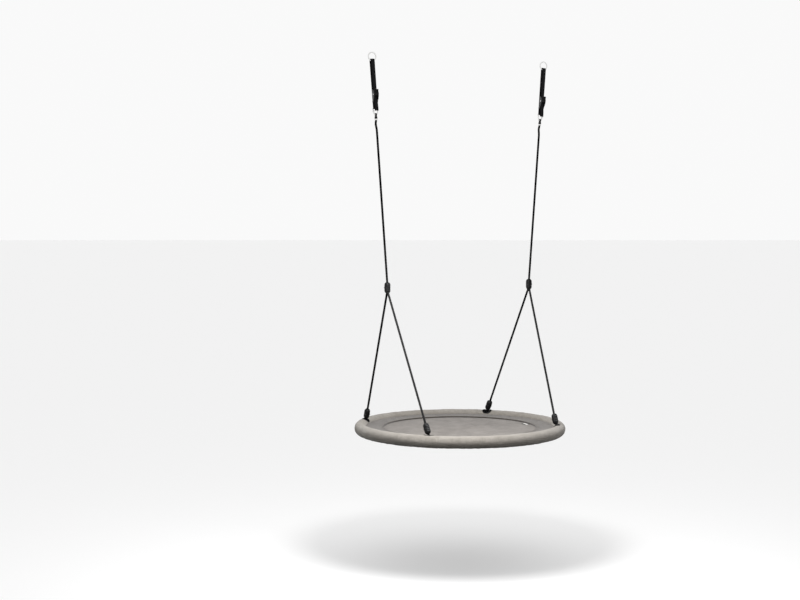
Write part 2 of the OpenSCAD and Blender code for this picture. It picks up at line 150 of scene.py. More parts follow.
def make_studio():
    area_light("key_light", (-0.36, -0.60, 0.95), (-0.25, -0.42, 0.05), 0.4, 16)
    world = bpy.data.worlds.new("studio")
    world.use_nodes = True
    tree = world.node_tree
    background = tree.nodes["Background"]
    background.inputs["Color"].default_value = (1, 1, 1, 1)
    direction = tree.nodes.new("ShaderNodeTexCoord").outputs["Generated"]
    height = tree.nodes.new("ShaderNodeSeparateXYZ")
    tree.links.new(direction, height.inputs[0])
    dome = tree.nodes.new("ShaderNodeMapRange")
    levels = {"From Min": -0.05, "From Max": -0.025, "To Min": 0.02, "To Max": 0.95}
    for name, value in levels.items():
        dome.inputs[name].default_value = value
    tree.links.new(height.outputs["Z"], dome.inputs["Value"])
    tree.links.new(dome.outputs[0], background.inputs["Strength"])
    bpy.context.scene.world = world
    bpy.context.scene.view_settings.view_transform = "Standard"
    floor_z = -0.62
    mesh = bpy.data.meshes.new("floor")
    half = 200
    mesh.from_pydata([(-half, -half, floor_z), (half, -half, floor_z), (half, half, floor_z),
                      (-half, half, floor_z)], [], [(0, 1, 2, 3)])
    floor = bpy.data.objects.new("floor", mesh)
    bpy.context.collection.objects.link(floor)
    mesh.materials.append(plain_material("floor_paint", (0.93, 0.93, 0.93), 0.9))
    floor.visible_diffuse = False       # so that the floor's glow doesn't wash out the seat's underside


# ---------- materials ----------


class Nodes:
    """A short way to write a material's node tree."""

    def __init__(self, name):
        self.material = bpy.data.materials.new(name)
        self.material.use_nodes = True
        self.tree = self.material.node_tree
        self.shader = self.tree.nodes["Principled BSDF"]

    def add(self, kind, links=None, values=None, **settings):
        node = self.tree.nodes.new("ShaderNode" + kind)
        for key, value in settings.items():
            setattr(node, key, value)
        for key, value in (values or {}).items():
            node.inputs[key].default_value = value
        for key, source in (links or {}).items():
            self.tree.links.new(source, node.inputs[key])
        return node

    def feed(self, node, *values):
        """Gives a node's first inputs numbers, colours or links."""
        for i, value in enumerate(values):
            if isinstance(value, tuple):
                node.inputs[i].default_value = (*value, 1)
            elif isinstance(value, (int, float)):
                node.inputs[i].default_value = value
            else:
                self.tree.links.new(value, node.inputs[i])
        return node.outputs[0]

    def math(self, operation, *values):
        return self.feed(self.add("Math", operation=operation), *values)

    def mix(self, factor, a, b, blend="MIX"):
        return self.feed(self.add("MixRGB", blend_type=blend), factor, a, b)

    def times(self, a, b):
        """Two colours multiplied."""
        return self.mix(1.0, a, b, "MULTIPLY")

    def noise(self, vector, scale, detail=3.0, rough=0.55):
        values = {"Scale": scale, "Detail": detail, "Roughness": rough}
        return self.add("TexNoise", {"Vector": vector}, values).outputs["Fac"]

    def ramp(self, value, low, high):
        """0 below low, 1 above high."""
        node = self.add("MapRange", {"Value": value}, {"From Min": low, "From Max": high})
        return node.outputs[0]

    def place(self):
        return self.add("TexCoord").outputs["Object"]

    def parts(self, vector):
        """X, Y and Z of a vector."""
        return self.add("SeparateXYZ", {"Vector": vector}).outputs[:]

    def uv(self):
        """The cloth's UV map, in metres."""
        return self.add("UVMap", uv_map="cloth").outputs[0]

    def stretch(self, vector, scale):
        return self.add("Mapping", {"Vector": vector}, {"Scale": scale}).outputs[0]

    def bump(self, height, distance, strength=1.0):
        node = self.add("Bump", {"Height": height}, {"Distance": distance, "Strength": strength})
        return node.outputs[0]

    def wire(self, **sources):
        for name, source in sources.items():
            self.tree.links.new(source, self.shader.inputs[name.replace("_", " ")])

    def set(self, **values):
        for name, value in values.items():
            self.shader.inputs[name.replace("_", " ")].default_value = value


def plain_material(name, colour, roughness):
    n = Nodes(name)
    n.set(Base_Color=(*colour, 1), Roughness=roughness)
    return n.material


def metal(name, colour, roughness, wear=0.12):
    """Plated or bare steel with fine scratches and cloudy patches."""
    n = Nodes(name)
    cloud = n.noise(n.place(), 60, 4)
    fine = n.noise(n.stretch(n.place(), (1, 1, 0.15)), 900, 2)
    dark = tuple(c * (1 - wear) for c in colour)
    n.wire(Base_Color=n.mix(n.ramp(cloud, 0.35, 0.65), dark, colour),
           Roughness=n.math("MULTIPLY_ADD", fine, 0.25, roughness - 0.12),
           Normal=n.bump(fine, 0.0001, 0.4))
    n.set(Metallic=1.0)
    return n.material


def coated_metal(name, colour, roughness):
    """Steel under black powder coat, with a faint orange peel."""
    n = Nodes(name)
    peel = n.noise(n.place(), 700, 2)
    dust = n.noise(n.place(), 90, 5)
    pale = tuple(c * 1.9 + 0.01 for c in colour)
    n.wire(Base_Color=n.mix(n.ramp(dust, 0.5, 0.8), colour, pale),
           Roughness=n.math("MULTIPLY_ADD", dust, 0.2, roughness - 0.1),
           Normal=n.bump(peel, 0.0002, 0.5))
    n.set(Coat_Weight=0.15, Coat_Roughness=0.3)
    return n.material


def plastic(name, colour, roughness=0.42):
    """Moulded black plastic with a fine spark-eroded texture."""
    n = Nodes(name)
    texture = n.noise(n.place(), 1400, 2)
    cloud = n.noise(n.place(), 45, 4)
    pale = tuple(c * 1.5 + 0.003 for c in colour)
    n.wire(Base_Color=n.mix(n.ramp(cloud, 0.4, 0.75), colour, pale),
           Roughness=n.math("MULTIPLY_ADD", cloud, 0.16, roughness - 0.08),
           Normal=n.bump(texture, 0.00012, 0.6))
    n.set(Specular_IOR_Level=0.15)
    return n.material


def rope_fibre(name, colour):
    """Braided polyester: crossing strands, fine filaments along them, a little dust, and painted shade
    between the strands with a painted highlight on their crests.
    """
    n = Nodes(name)
    uv = n.uv()
    x, y, _ = n.parts(uv)
    around = n.math("MULTIPLY", y, BRAID / (math.tau * ROPE_R))
    along = n.math("MULTIPLY", x, 0.5 / BRAID_CELL)
    strand, _ = weave(n, n.math("ADD", around, along), n.math("SUBTRACT", around, along), 1.0)
    filaments = n.noise(n.stretch(uv, (3500, 900, 1)), 1.0, 2)
    dust = n.noise(n.place(), 120, 5)
    pale = tuple(c * 2.0 + 0.002 for c in colour)
    tint = n.math("MULTIPLY", n.ramp(dust, 0.42, 0.75), n.ramp(filaments, 0.3, 0.8))
    # painted shade in the grooves between strands (0.35) and painted highlight on their crests (1.25)
    groove = n.mix(n.ramp(strand, 0.05, 0.6), (0.35, 0.35, 0.35), (1.25, 1.25, 1.25))
    relief = n.math("MULTIPLY_ADD", filaments, 0.25, strand)
    n.wire(Base_Color=n.times(n.mix(tint, colour, pale), groove), Normal=n.bump(relief, 0.0009, 0.8))
    n.set(Roughness=0.88, Specular_IOR_Level=0.06)
    return n.material


def weave(n, x, y, pitch):
    """Plain weave's height over (x, y), and which yarn is on top."""
    warp = n.math("SINE", n.math("MULTIPLY", x, math.pi / pitch))
    weft = n.math("SINE", n.math("MULTIPLY", y, math.pi / pitch))
    over = n.math("MULTIPLY_ADD", n.math("MULTIPLY", warp, weft), 0.5, 0.5)
    height = n.math("MAXIMUM", n.math("MULTIPLY", n.math("ABSOLUTE", warp), over),
                    n.math("MULTIPLY", n.math("ABSOLUTE", weft), n.math("SUBTRACT", 1.0, over)))
    return height, over


def cloth(name, dark, light, pitch, fleck=0.5, bump=0.0006, tint=None):
    """Woven mélange cloth: two yarn directions, each yarn flecked along its length, and painted
    shade in the hollows of the weave. tint(n) gives a colour that multiplies it: painted shade."""
    n = Nodes(name)
    uv = n.uv()
    x, y, _ = n.parts(uv)
    height, over = weave(n, x, y, pitch)
    along = n.noise(n.stretch(uv, (40, 420, 1)), 1.0, 3)
    across = n.noise(n.stretch(uv, (420, 40, 1)), 1.0, 3)
    yarn = n.mix(over, along, across)
    patches = n.noise(n.place(), 22, 5, 0.6)
    broad = n.noise(n.place(), 5, 3)
    tone = n.math("ADD", n.math("MULTIPLY", n.ramp(yarn, 0.3, 0.7), fleck),
                  n.math("MULTIPLY", n.ramp(patches, 0.37, 0.63), 1 - fleck))
    base = n.mix(tone, dark, light)
    shade = n.mix(n.ramp(broad, 0.3, 0.7), (0.88, 0.87, 0.86), (1.0, 1.0, 1.0))
    if tint:
        shade = n.times(shade, tint(n))
    # painted shade: the weave's hollows darkened to about two thirds
    groove = n.mix(n.ramp(height, 0.0, 0.45), (0.66, 0.65, 0.64), (1.0, 1.0, 1.0))
    n.wire(Base_Color=n.times(n.times(base, shade), groove), Normal=n.bump(height, bump, 0.8))
    n.set(Roughness=0.86, Sheen_Weight=0.2, Sheen_Roughness=0.5, Specular_IOR_Level=0.25)
    return n.material


def band_seam_painted_shade(n):
    """Painted shade: the band darkens towards the seam, in the hollow before the step."""
    x, y, _ = n.parts(n.place())
    flat = n.add("CombineXYZ", {"X": x, "Y": y})
    radius = n.add("VectorMath", {0: flat.outputs[0]}, operation="LENGTH").outputs["Value"]
    wander = n.math("MULTIPLY_ADD", n.noise(n.place(), 9, 2), 0.012, radius)
    return n.mix(n.ramp(wander, SEAM_R + 0.004, SEAM_R + 0.030), (0.74, 0.72, 0.70), (1.0, 1.0, 1.0))


def binding_painted_shade(n):
    """Painted shade on the binding tape: dark only down its inner wall, where the step lies in shade, and a
    little darker on its top.
    """
    height = n.parts(n.place())[2]
    upper = n.ramp(height, SEAM_Z - 0.0026, SEAM_Z - 0.0008)
    return n.mix(upper, (0.42, 0.40, 0.38), (0.80, 0.79, 0.78))


def webbing_cloth(name):
    """Black polyester webbing: ribs along it, fine weft across, and a painted sheen down its paler middle.
    """
    n = Nodes(name)
    x, y, _ = n.parts(n.uv())
    rib = n.math("SINE", n.math("MULTIPLY", x, math.tau / 0.0012))
    weft = n.math("SINE", n.math("MULTIPLY", y, math.tau / 0.0009))
    height = n.math("MULTIPLY_ADD", rib, 0.3, n.math("MULTIPLY_ADD", weft, 0.2, 0.5))
    dust = n.noise(n.place(), 150, 5)
    # painted sheen: the middle is paler than the edges
    edge = n.ramp(n.math("ABSOLUTE", x), 0.0052, 0.0062)
    middle = n.mix(edge, (0.013, 0.013, 0.014), (0.005, 0.005, 0.0055))
    base = n.mix(n.math("MULTIPLY", n.ramp(dust, 0.5, 0.8), 0.4), middle, (0.028, 0.028, 0.03))
    n.wire(Base_Color=base, Normal=n.bump(height, 0.0002, 0.8))
    n.set(Roughness=0.85, Sheen_Weight=0.02, Sheen_Roughness=0.4, Specular_IOR_Level=0.14)
    return n.material


def foam_material(name):
    """Grey closed-cell foam."""
    n = Nodes(name)
    cells = n.add("TexVoronoi", {"Vector": n.place()}, {"Scale": 500.0}).outputs["Distance"]
    n.wire(Base_Color=n.mix(cells, (0.16, 0.16, 0.165), (0.30, 0.30, 0.305)),
           Normal=n.bump(cells, 0.0005))
    n.set(Roughness=0.9)
    return n.material


def thread_material(name, colour):
    n = Nodes(name)
    twist = n.noise(n.place(), 2500, 2)
    pale = tuple(c * 1.6 for c in colour)
    n.wire(Base_Color=n.mix(twist, colour, pale), Normal=n.bump(twist, 0.0001))
    n.set(Roughness=0.6, Sheen_Weight=0.2)
    return n.material


def label_material(name):
    """A woven label: black edges and a blank pale middle."""
    n = Nodes(name)
    x, y, _ = n.parts(n.uv())
    height, _ = weave(n, x, y, 0.0006)
    middle = n.math("SUBTRACT", 1.0, n.ramp(n.math("ABSOLUTE", x), 0.0056, 0.0061))
    speck = n.noise(n.place(), 900, 2)
    pale = n.mix(speck, (0.62, 0.61, 0.58), (0.78, 0.77, 0.74))
    n.wire(Base_Color=n.mix(middle, (0.010, 0.010, 0.011), pale), Normal=n.bump(height, 0.0002))
    n.set(Roughness=0.75, Specular_IOR_Level=0.2)
    return n.material


# ---------- mesh helpers ----------


def new_object(name, mesh, material=None):
    obj = bpy.data.objects.new(name, mesh)
    bpy.context.collection.objects.link(obj)
    if material:
        mesh.materials.clear()
        mesh.materials.append(material)
    return obj


def piece(name, mesh, material, body, slot, *nodes):
    """A piece that rides on a body, in the place of the CAD nodes named."""
    obj = new_object(name, mesh, material)
    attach(obj, body)
    if nodes:
        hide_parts(*nodes)
    return obj


@contextmanager
def editing(mesh):
    """The mesh as a bmesh, which is written back afterwards."""
    bm = bmesh.new()
    bm.from_mesh(mesh)
    yield bm
    bm.to_mesh(mesh)
    bm.free()


def smooth(mesh, angle=40):
    mesh.shade_smooth()
    if angle < 180:
        mesh.set_sharp_from_angle(angle=math.radians(angle))


def mesh_from(name, verts, faces, uvs=None, angle=180):
    """A mesh, with a UV for each face corner in metres if uvs is given."""
    mesh = bpy.data.meshes.new(name)
    mesh.from_pydata([tuple(v) for v in verts], [], [tuple(f) for f in faces])
    if uvs is not None:
        layer = mesh.uv_layers.new(name="cloth")
        layer.data.foreach_set("uv", np.asarray(uvs, np.float32).ravel())
    smooth(mesh, angle)
    return mesh


def grid(name, points, wrap_u=False, wrap_v=False, us=None, vs=None, caps=False, angle=180):
    """A mesh over a grid of points[i][j], closed in u, v or both. us and vs are UVs in metres,
    one longer than the grid where it is closed."""
    points = np.asarray(points, float)
    nu, nv = points.shape[:2]
    cols = nu if wrap_u else nu - 1
    rows = nv if wrap_v else nv - 1
    i, j = np.meshgrid(np.arange(cols), np.arange(rows), indexing="ij")
    i, j = i.ravel(), j.ravel()
    i1, j1 = (i + 1) % nu, (j + 1) % nv
    faces = np.stack([i * nv + j, i1 * nv + j, i1 * nv + j1, i * nv + j1], 1).tolist()
    uvs = None
    if us is not None:
        us, vs = np.asarray(us), np.asarray(vs)
        corners = ((i, j), (i + 1, j), (i + 1, j + 1), (i, j + 1))
        uvs = np.stack([np.stack([us[a], vs[b]], 1) for a, b in corners], 1).reshape(-1, 2)
    if caps:
        first, last = list(range(nv)), list(range((nu - 1) * nv, nu * nv))
        faces += [first, last[::-1]]
        if uvs is not None:
            uvs = np.concatenate([uvs, np.zeros((2 * nv, 2))])
    return mesh_from(name, points.reshape(-1, 3), faces, uvs, angle)


def lengths_along(points):
    """How far along a polyline each of its points is."""
    return np.concatenate([[0], np.cumsum(np.linalg.norm(np.diff(points, axis=0), axis=1))])


def resample(points, step):
    """Points every step along a polyline, and how far along they are."""
    points = np.asarray(points, float)
    lengths = lengths_along(points)
    count = max(2, int(round(lengths[-1] / step)) + 1)
    at = np.linspace(0, lengths[-1], count)
    return np.stack([np.interp(at, lengths, points[:, k]) for k in range(3)], 1), at


def frames_along(points):
    """Two unit vectors across the path at each point, without twist."""
    tangents = np.gradient(points, axis=0)
    tangents /= np.linalg.norm(tangents, axis=1)[:, None]
    side = np.cross(tangents[0], (0, 0, 1) if abs(tangents[0][2]) < 0.9 else (0, 1, 0))
    sides = []
    for t in tangents:
        side = side - t * side.dot(t)
        side /= np.linalg.norm(side)
        sides.append(side)
    sides = np.array(sides)
    return sides, np.cross(tangents, sides)


def spokes(a, b, angles):
    """At each point of a path, unit vectors round it from its two vectors across."""
    return a[:, None] * np.cos(angles)[None, :, None] + b[:, None] * np.sin(angles)[None, :, None]


def tube(name, points, radius, around=16):
    """A round tube along points; radius is a number or one for each point."""
    points = np.asarray(points, float)
    ring = spokes(*frames_along(points), np.arange(around) * math.tau / around)
    r = np.broadcast_to(np.asarray(radius, float), (len(points),))
    vs = np.linspace(0, math.tau * r.mean(), around + 1)
    return grid(name, points[:, None] + ring * r[:, None, None], wrap_v=True, us=lengths_along(points),
                vs=vs, caps=True)


def braid(name, points, radius, step=0.0014, around=24):
    """A diamond-braided rope along points, with each strand's relief in the mesh."""
    points, at = resample(points, step)
    share = np.arange(around) / around
    s = at[:, None] / BRAID_CELL
    a = share[None, :] * BRAID + s / 2
    b = share[None, :] * BRAID - s / 2
    fa, fb = a - np.floor(a) - 0.5, b - np.floor(b) - 0.5
    over = (np.floor(a) + np.floor(b)) % 2 == 0
    crest = np.where(over, np.cos(np.pi * fa) * (0.6 + 0.4 * np.cos(2 * np.pi * fb)),
                     np.cos(np.pi * fb) * (0.6 + 0.4 * np.cos(2 * np.pi * fa)))
    r = radius * (0.96 + 0.07 * crest)
    ring = spokes(*frames_along(points), share * math.tau)
    vs = np.linspace(0, math.tau * ROPE_R, around + 1)
    return grid(name, points[:, None] + ring * r[..., None], wrap_v=True, us=at, vs=vs, caps=True)


def lathe(name, profile, around=48, angle=40):
    """A solid of revolution about Z, from (radius, z) points that run from the axis to the axis."""
    profile = np.asarray(profile, float)
    rows = [[(*polar(r, t), z) for r, z in profile] for t in np.arange(around) * math.tau / around]
    mesh = grid(name, rows, wrap_u=True)
    clean(mesh)
    smooth(mesh, angle)
    return mesh


def drum(name, radius, half, around=32):
    """A plain cylinder about Z, from -half to half."""
    return lathe(name, mirrored([(radius, half), (0, half)]), around)


def mirrored(half):
    """A whole profile from its upper half, which ends on the axis."""
    return [(r, -z) for r, z in half[::-1]] + half


def polar(radius, angle):
    return radius * math.cos(angle), radius * math.sin(angle)


def hexagon(radius):
    return [polar(radius, math.tau * k / 6) for k in range(6)]


def clean(mesh, distance=1e-6):
    """Merges doubled points and makes the faces look outwards."""
    with editing(mesh) as bm:
        bmesh.ops.remove_doubles(bm, verts=bm.verts, dist=distance)
        bmesh.ops.dissolve_degenerate(bm, edges=bm.edges, dist=distance)
        bmesh.ops.recalc_face_normals(bm, faces=bm.faces)


def prism(name, outline, width, axis="X", bevel=0.0):
    """A flat outline, given as (a, b) points, pulled to a width centred on the axis."""
    n = len(outline)
    spot = "XYZ".index(axis)
    verts = [(*p[:spot], w, *p[spot:]) for w in (-width / 2, width / 2) for p in outline]
    faces = [list(range(n))[::-1], list(range(n, 2 * n))]
    faces += [(i, (i + 1) % n, n + (i + 1) % n, n + i) for i in range(n)]
    mesh = mesh_from(name, verts, faces)
    clean(mesh)
    if bevel:
        with editing(mesh) as bm:
            edges = [e for e in bm.edges if e.calc_face_angle(0) > math.radians(35)]
            bmesh.ops.bevel(bm, geom=edges, offset=bevel, segments=2, affect="EDGES", profile=0.6)
    smooth(mesh, 35)
    return mesh


def cloth_uv(mesh, u, v):
    """Gives a mesh UVs in metres, from its vertices' u and v."""
    layer = mesh.uv_layers.get("cloth") or mesh.uv_layers.new(name="cloth")
    index = np.zeros(len(mesh.loops), int)
    mesh.loops.foreach_get("vertex_index", index)
    layer.data.foreach_set("uv", np.stack([u, v], 1)[index].astype(np.float32).ravel())
    return mesh


def places_of(mesh):
    co = np.zeros(len(mesh.vertices) * 3)
    mesh.vertices.foreach_get("co", co)
    return co.reshape(-1, 3).T


def planar_uv(mesh, turned=0.0):
    """UVs from above, turned by an angle."""
    x, y, _ = places_of(mesh)
    c, s = polar(1, turned)
    cloth_uv(mesh, x * c + y * s, y * c - x * s)


def rounded(outline, passes=2):
    """Cuts the corners of a closed outline, over and over."""
    for _ in range(passes):
        cut = []
        for i, p in enumerate(outline):
            q = outline[(i + 1) % len(outline)]
            cut += [(0.75 * p[0] + 0.25 * q[0], 0.75 * p[1] + 0.25 * q[1]),
                    (0.25 * p[0] + 0.75 * q[0], 0.25 * p[1] + 0.75 * q[1])]
        outline = cut
    return outline


def oval(half, straight, steps):
    """The outline of an oval whose straight sides run along b."""
    points = []
    for end, start in ((1, 0), (-1, math.pi)):
        for k in range(steps + 1):
            a, b = polar(half, start + math.pi * k / steps)
            points.append((a, end * straight / 2 + b))
    return points


def boolean(mesh, cutters, operation="DIFFERENCE"):
    """mesh with the cutter meshes taken away (or added)."""
    obj = new_object("work", mesh)
    for cutter in cutters:
        tool = new_object("tool", cutter)
        mod = obj.modifiers.new("cut", "BOOLEAN")
        mod.operation = operation
        mod.solver = "EXACT"
        mod.object = tool
        result = evaluated(obj)
        obj.modifiers.clear()
        obj.data = result
        bpy.data.objects.remove(tool)
    result = obj.data
    bpy.data.objects.remove(obj)
    return result


def evaluated(obj):
    graph = bpy.context.evaluated_depsgraph_get()
    return bpy.data.meshes.new_from_object(obj.evaluated_get(graph))


def thickened(mesh, thickness):
    """A cloth's upper side with its thickness added underneath."""
    obj = new_object("work", mesh)
    mod = obj.modifiers.new("thickness", "SOLIDIFY")
    mod.thickness = thickness
    mod.offset = -1
    result = evaluated(obj)
    bpy.data.objects.remove(obj)
    return result


def joined(meshes):
    """One mesh of several, kept as separate closed shells."""
    bm = bmesh.new()
    for mesh in meshes:
        bm.from_mesh(mesh)
    result = bpy.data.meshes.new(meshes[0].name)
    bm.to_mesh(result)
    bm.free()
    return result


def moved(mesh, matrix):
    copy = mesh.copy()
    copy.transform(matrix)
    if matrix.determinant() < 0:
        copy.flip_normals()
    return copy


def shift(x=0.0, y=0.0, z=0.0):
    return Matrix.Translation((x, y, z))


def turn(angle, axis):
    return Matrix.Rotation(angle, 4, axis)


def along_x(mesh, x=0.0, y=0.0, z=0.0):
    """Lays a mesh that stands on Z along X, at a place."""
    mesh.transform(shift(x, y, z) @ turn(math.pi / 2, "Y"))
    return mesh


# ---------- local frames ----------


def hanger(side, depth=0.0):
    """Down the hanging line from the swing axis; X along the seat's X, Z up the line."""
    return shift(side * HANG_X, 0, AXIS_Z) @ turn(side * LEAN, "Y") @ shift(z=-depth)


def hanger_point(side, depth):
    return hanger(side, depth) @ Vector((0, 0, 0))


def leg_ends(side, face):
    foot = Vector((side * FOOT_R * math.cos(LEG_ANGLE), face * FOOT_R * math.sin(LEG_ANGLE), RIM_Z))
    return foot, Vector((side * JUNCTION_X, 0, TILT_Z))


def on_leg(side, face, along=0.0):
    """Up a rope leg from the rim's middle; Z up the leg, X towards the front or the back."""
    foot, top = leg_ends(side, face)
    v = top - foot
    azimuth = math.atan2(v.y, v.x)
    slant = math.acos(v.z / v.length)
    return (shift(*foot) @ turn(azimuth, "Z") @ turn(slant, "Y")
            @ turn(face * math.pi / 2 - azimuth, "Z") @ shift(z=along))


def at_junction(side):
    """At a rope junction; X towards the ribbed half, front at the left and back at the right."""
    return shift(side * JUNCTION_X, 0, JUNCTION_Z) @ turn(side * math.pi / 2, "Z")


make_camera()
make_studio()

# ---------- ropes ----------

rope_black = rope_fibre("rope_black", (0.004, 0.004, 0.0043))
# the same black rope painted paler for the front legs: painted highlight
rope_painted_highlight = rope_fibre("rope_painted_highlight", (0.017, 0.017, 0.017))


def hanging_rope(name, side):
    """A main rope, from its collar into the rope junction, with the small set it takes at the collar."""
    start, end = COLLAR_END - 0.003, HANG_LEN - CAP_R + 0.006
    set_off, set_at, set_width = 0.0035, 0.022, 0.016
    path = []
    for k in range(41):
        depth = start + (end - start) * (k / 40) ** 1.6
        below = depth - start
        bend = set_off * math.exp(-((below - set_at) / set_width) ** 2) * min(1.0, below / 0.008)
        path.append(hanger_point(side, depth) + Vector((-bend, 0, 0)))
    mesh = braid(f"rope_{name}", path, ROPE_R)
    obj = piece(f"rope_{name}", mesh, rope_black, f"rope_{name}", "rope", f"main_rope_{name}")


def rope_leg(face_name, name, side, face):
    """A rope leg, from the rope junction down into the rim, with its two turns round the tube."""
    foot, top = leg_ends(side, face)
    v = (top - foot).normalized()
    start, end = TUBE_R + ROPE_R, (top - foot).length - CAP_R + 0.005
    path = [foot + v * (end + (start - end) * k / 24) for k in range(25)]
    label = f"{face_name}_{name}"
    # the front legs get the rope painted paler as highlight
    material = rope_painted_highlight if face < 0 else rope_black
    mesh = braid(f"rope_leg_{label}", path, ROPE_R)
    obj = piece(f"rope_leg_{label}", mesh, material, "seat", "rope", f"leg_rope_{label}")
    radius = TUBE_R + ROPE_R + 0.0003
    out = Vector((foot.x, foot.y, 0)).normalized()
    across = Vector((0, 0, 1)).cross(out)
    coil = []
    for k in range(97):
        t = k / 96
        outwards, up = polar(radius, math.pi / 2 + 2 * math.tau * t)
        coil.append(out * (RING_R + outwards) + Vector((0, 0, RIM_Z + up)) + across * (2 * t - 1) * 0.0108)
    mesh = braid(f"rope_turns_{label}", coil, ROPE_R - 0.0002)
    piece(f"rope_turns_{label}", mesh, material, "seat", "rope", f"leg_rope_{label}")


for name, side in SIDES.items():
    hanging_rope(name, side)
    for face_name, face in FACES.items():
        rope_leg(face_name, name, side, face)

# ---------- webbing, rings, links and rope ends ----------

webbing = webbing_cloth("webbing_black")
zinc = metal("zinc_plate", (0.80, 0.80, 0.79), 0.28)
bright = metal("bright_collar", (0.86, 0.86, 0.85), 0.24)
black_steel = coated_metal("black_steel", (0.016, 0.016, 0.017), 0.42)
black_plastic = plastic("black_plastic", (0.005, 0.005, 0.0053))
# a paler grey for the couplings' ribs: painted highlight
rib_plastic_painted_highlight = plastic("rib_plastic_painted_highlight", (0.075, 0.075, 0.077), 0.5)
spring_steel = metal("spring_steel", (0.55, 0.55, 0.55), 0.3)
black_thread = thread_material("black_thread", (0.03, 0.03, 0.031))


def web_profile():
    """Half thickness across the webbing: round edges and shallow ribs."""
    xs = np.linspace(-1, 1, 17)
    half = np.sqrt(np.maximum(0, 1 - np.abs(xs) ** 10)) * (0.93 + 0.07 * np.cos(xs * 3 * math.pi))
    return xs * WEB_W / 2, half * WEB_T / 2


def web_strip(name, path, start=0.0, step=0.0025):
    """A length of webbing along (y, z) points, closed at both ends."""
    points, at = resample([(0, y, z) for y, z in path], step)
    tangents = np.gradient(points, axis=0)
    tangents /= np.linalg.norm(tangents, axis=1)[:, None]
    normals = np.cross((1, 0, 0), tangents)
    xs, half = web_profile()
    x = np.concatenate([xs, xs[-2:0:-1]])
    h = np.concatenate([half, -half[-2:0:-1]])
    pts = points[:, None] + normals[:, None] * h[None, :, None]
    pts[..., 0] = x[None, :]
    mesh = grid(name, pts, wrap_v=True, caps=True, angle=60)
    return cloth_uv(mesh, np.tile(x, len(at)), np.repeat(at + start, len(x)))


def arc(centre, radius, start, end, steps=14):
    """(y, z) points on an arc; angles in degrees from +Y towards +Z."""
    angles = np.radians(np.linspace(start, end, steps))
    return [(centre[0] + y, centre[1] + z) for y, z in (polar(radius, t) for t in angles)]


def back_y(depth):
    """The back layer's middle, on its way to the link's bar."""
    return STRAP_Y + (LINK_R + WEB_GAP + WEB_T / 2 - STRAP_Y) * depth / WEB_LOOP


def make_webbing(name, side):
    bar_mid = LINK_R + WEB_GAP + WEB_T / 2
    fold_mid = BAR_R + WEB_GAP + WEB_T / 2
    m = hanger(side)
    top = web_strip("top", arc((0, 0), STRAP_Y, 0, 180, 24), -0.02)
    front = web_strip("front", [(-STRAP_Y, 0), (-STRAP_Y, -BUCKLE_TOP)])
    back = web_strip("back", [(STRAP_Y, 0), (back_y(BUCKLE_TOP), -BUCKLE_TOP)])
    tail_end = WEB_LOOP + 0.0120
    tail = web_strip("tail", [(-STRAP_Y, -BUCKLE_TOP), (-STRAP_Y, -0.162), (-STRAP_Y - 0.0012, -0.176),
                              (-STRAP_Y - 0.003, -0.192), (-STRAP_Y - 0.0052, -0.208),
                              (-STRAP_Y - 0.0056, -tail_end)], BUCKLE_TOP)
    loop = ([(back_y(BUCKLE_TOP), -BUCKLE_TOP), (bar_mid, -WEB_LOOP)]
            + arc((0, -WEB_LOOP), bar_mid, -8, -172)
            + [(-bar_mid, -WEB_LOOP), (BAR_Y - fold_mid, -BAR_DEPTH)]
            + arc((BAR_Y, -BAR_DEPTH), fold_mid, 172, 8)
            + [(BAR_Y + fold_mid, -BAR_DEPTH), (-0.0004, -BAR_DEPTH - 0.009), (-0.0014, -BAR_DEPTH - 0.017)])
    lower = web_strip("lower", loop, BUCKLE_TOP)
    for mesh in (front, back, tail, lower):
        for v in mesh.vertices:
            if abs(v.co.z + BUCKLE_TOP) < 1e-5:
                v.co.z += v.co.x * math.tan(side * LEAN)
    for label, mesh, body in (("loop", top, "straps"), ("runs", joined([front, back]), "straps"),
                              ("end", joined([tail, lower]), "buckles")):
        obj = piece(f"webbing_{label}_{name}", moved(mesh, m), webbing, body, "webbing", f"strap_{name}")
        if label == "runs":
            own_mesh(obj)
    rows = []
    for z in np.linspace(-BAR_DEPTH - 0.0065, -BAR_DEPTH - 0.0145, 3):
        y = -0.0072 + 0.0014 * (z + BAR_DEPTH + 0.02) / 0.02
        for x in np.linspace(-0.0082, 0.0082, 9):
            rows.append(stitch((x, y, z), (1, 0, 0), 0.0016, 0.0003))
    piece(f"webbing_stitches_{name}", moved(joined(rows), m), black_thread, "buckles", "webbing")


def stitch(place, along, length, radius):
    """One stitch: a short thread with round ends."""
    direction = Vector(along).normalized()
    centre = Vector(place)
    ends = [(-0.5, 0.25), (-0.36, 0.85), (0.0, 1.0), (0.36, 0.85), (0.5, 0.25)]
    points = [centre + direction * (length * t) for t, _ in ends]
    return tube("stitch", points, [radius * r for _, r in ends], around=6)


def make_ring(name, side):
    """A steel ring with a weld at the top."""
    wire, bend, steps = 0.003, 0.019, 96
    out, radii = np.zeros((steps, 3)), np.zeros(steps)
    for k in range(steps):
        t = math.tau * k / steps
        out[k] = (math.sin(t), 0, math.cos(t))
        radii[k] = wire * (1 + 0.10 * math.exp(-(math.remainder(t, math.tau) / 0.06) ** 2))
    section = spokes(out, np.array([(0.0, 1.0, 0.0)]), np.arange(20) * math.tau / 20)
    mesh = grid(f"ring_{name}", bend * out[:, None] + section * radii[:, None, None], True, True)
    mesh.transform(shift(side * HANG_X, 0, HANG_Z))
    clean(mesh)
    mesh.shade_smooth()
    piece(f"ring_{name}", mesh, zinc, "hanging_rings", "zinc_steel", f"hang_ring_{name}")


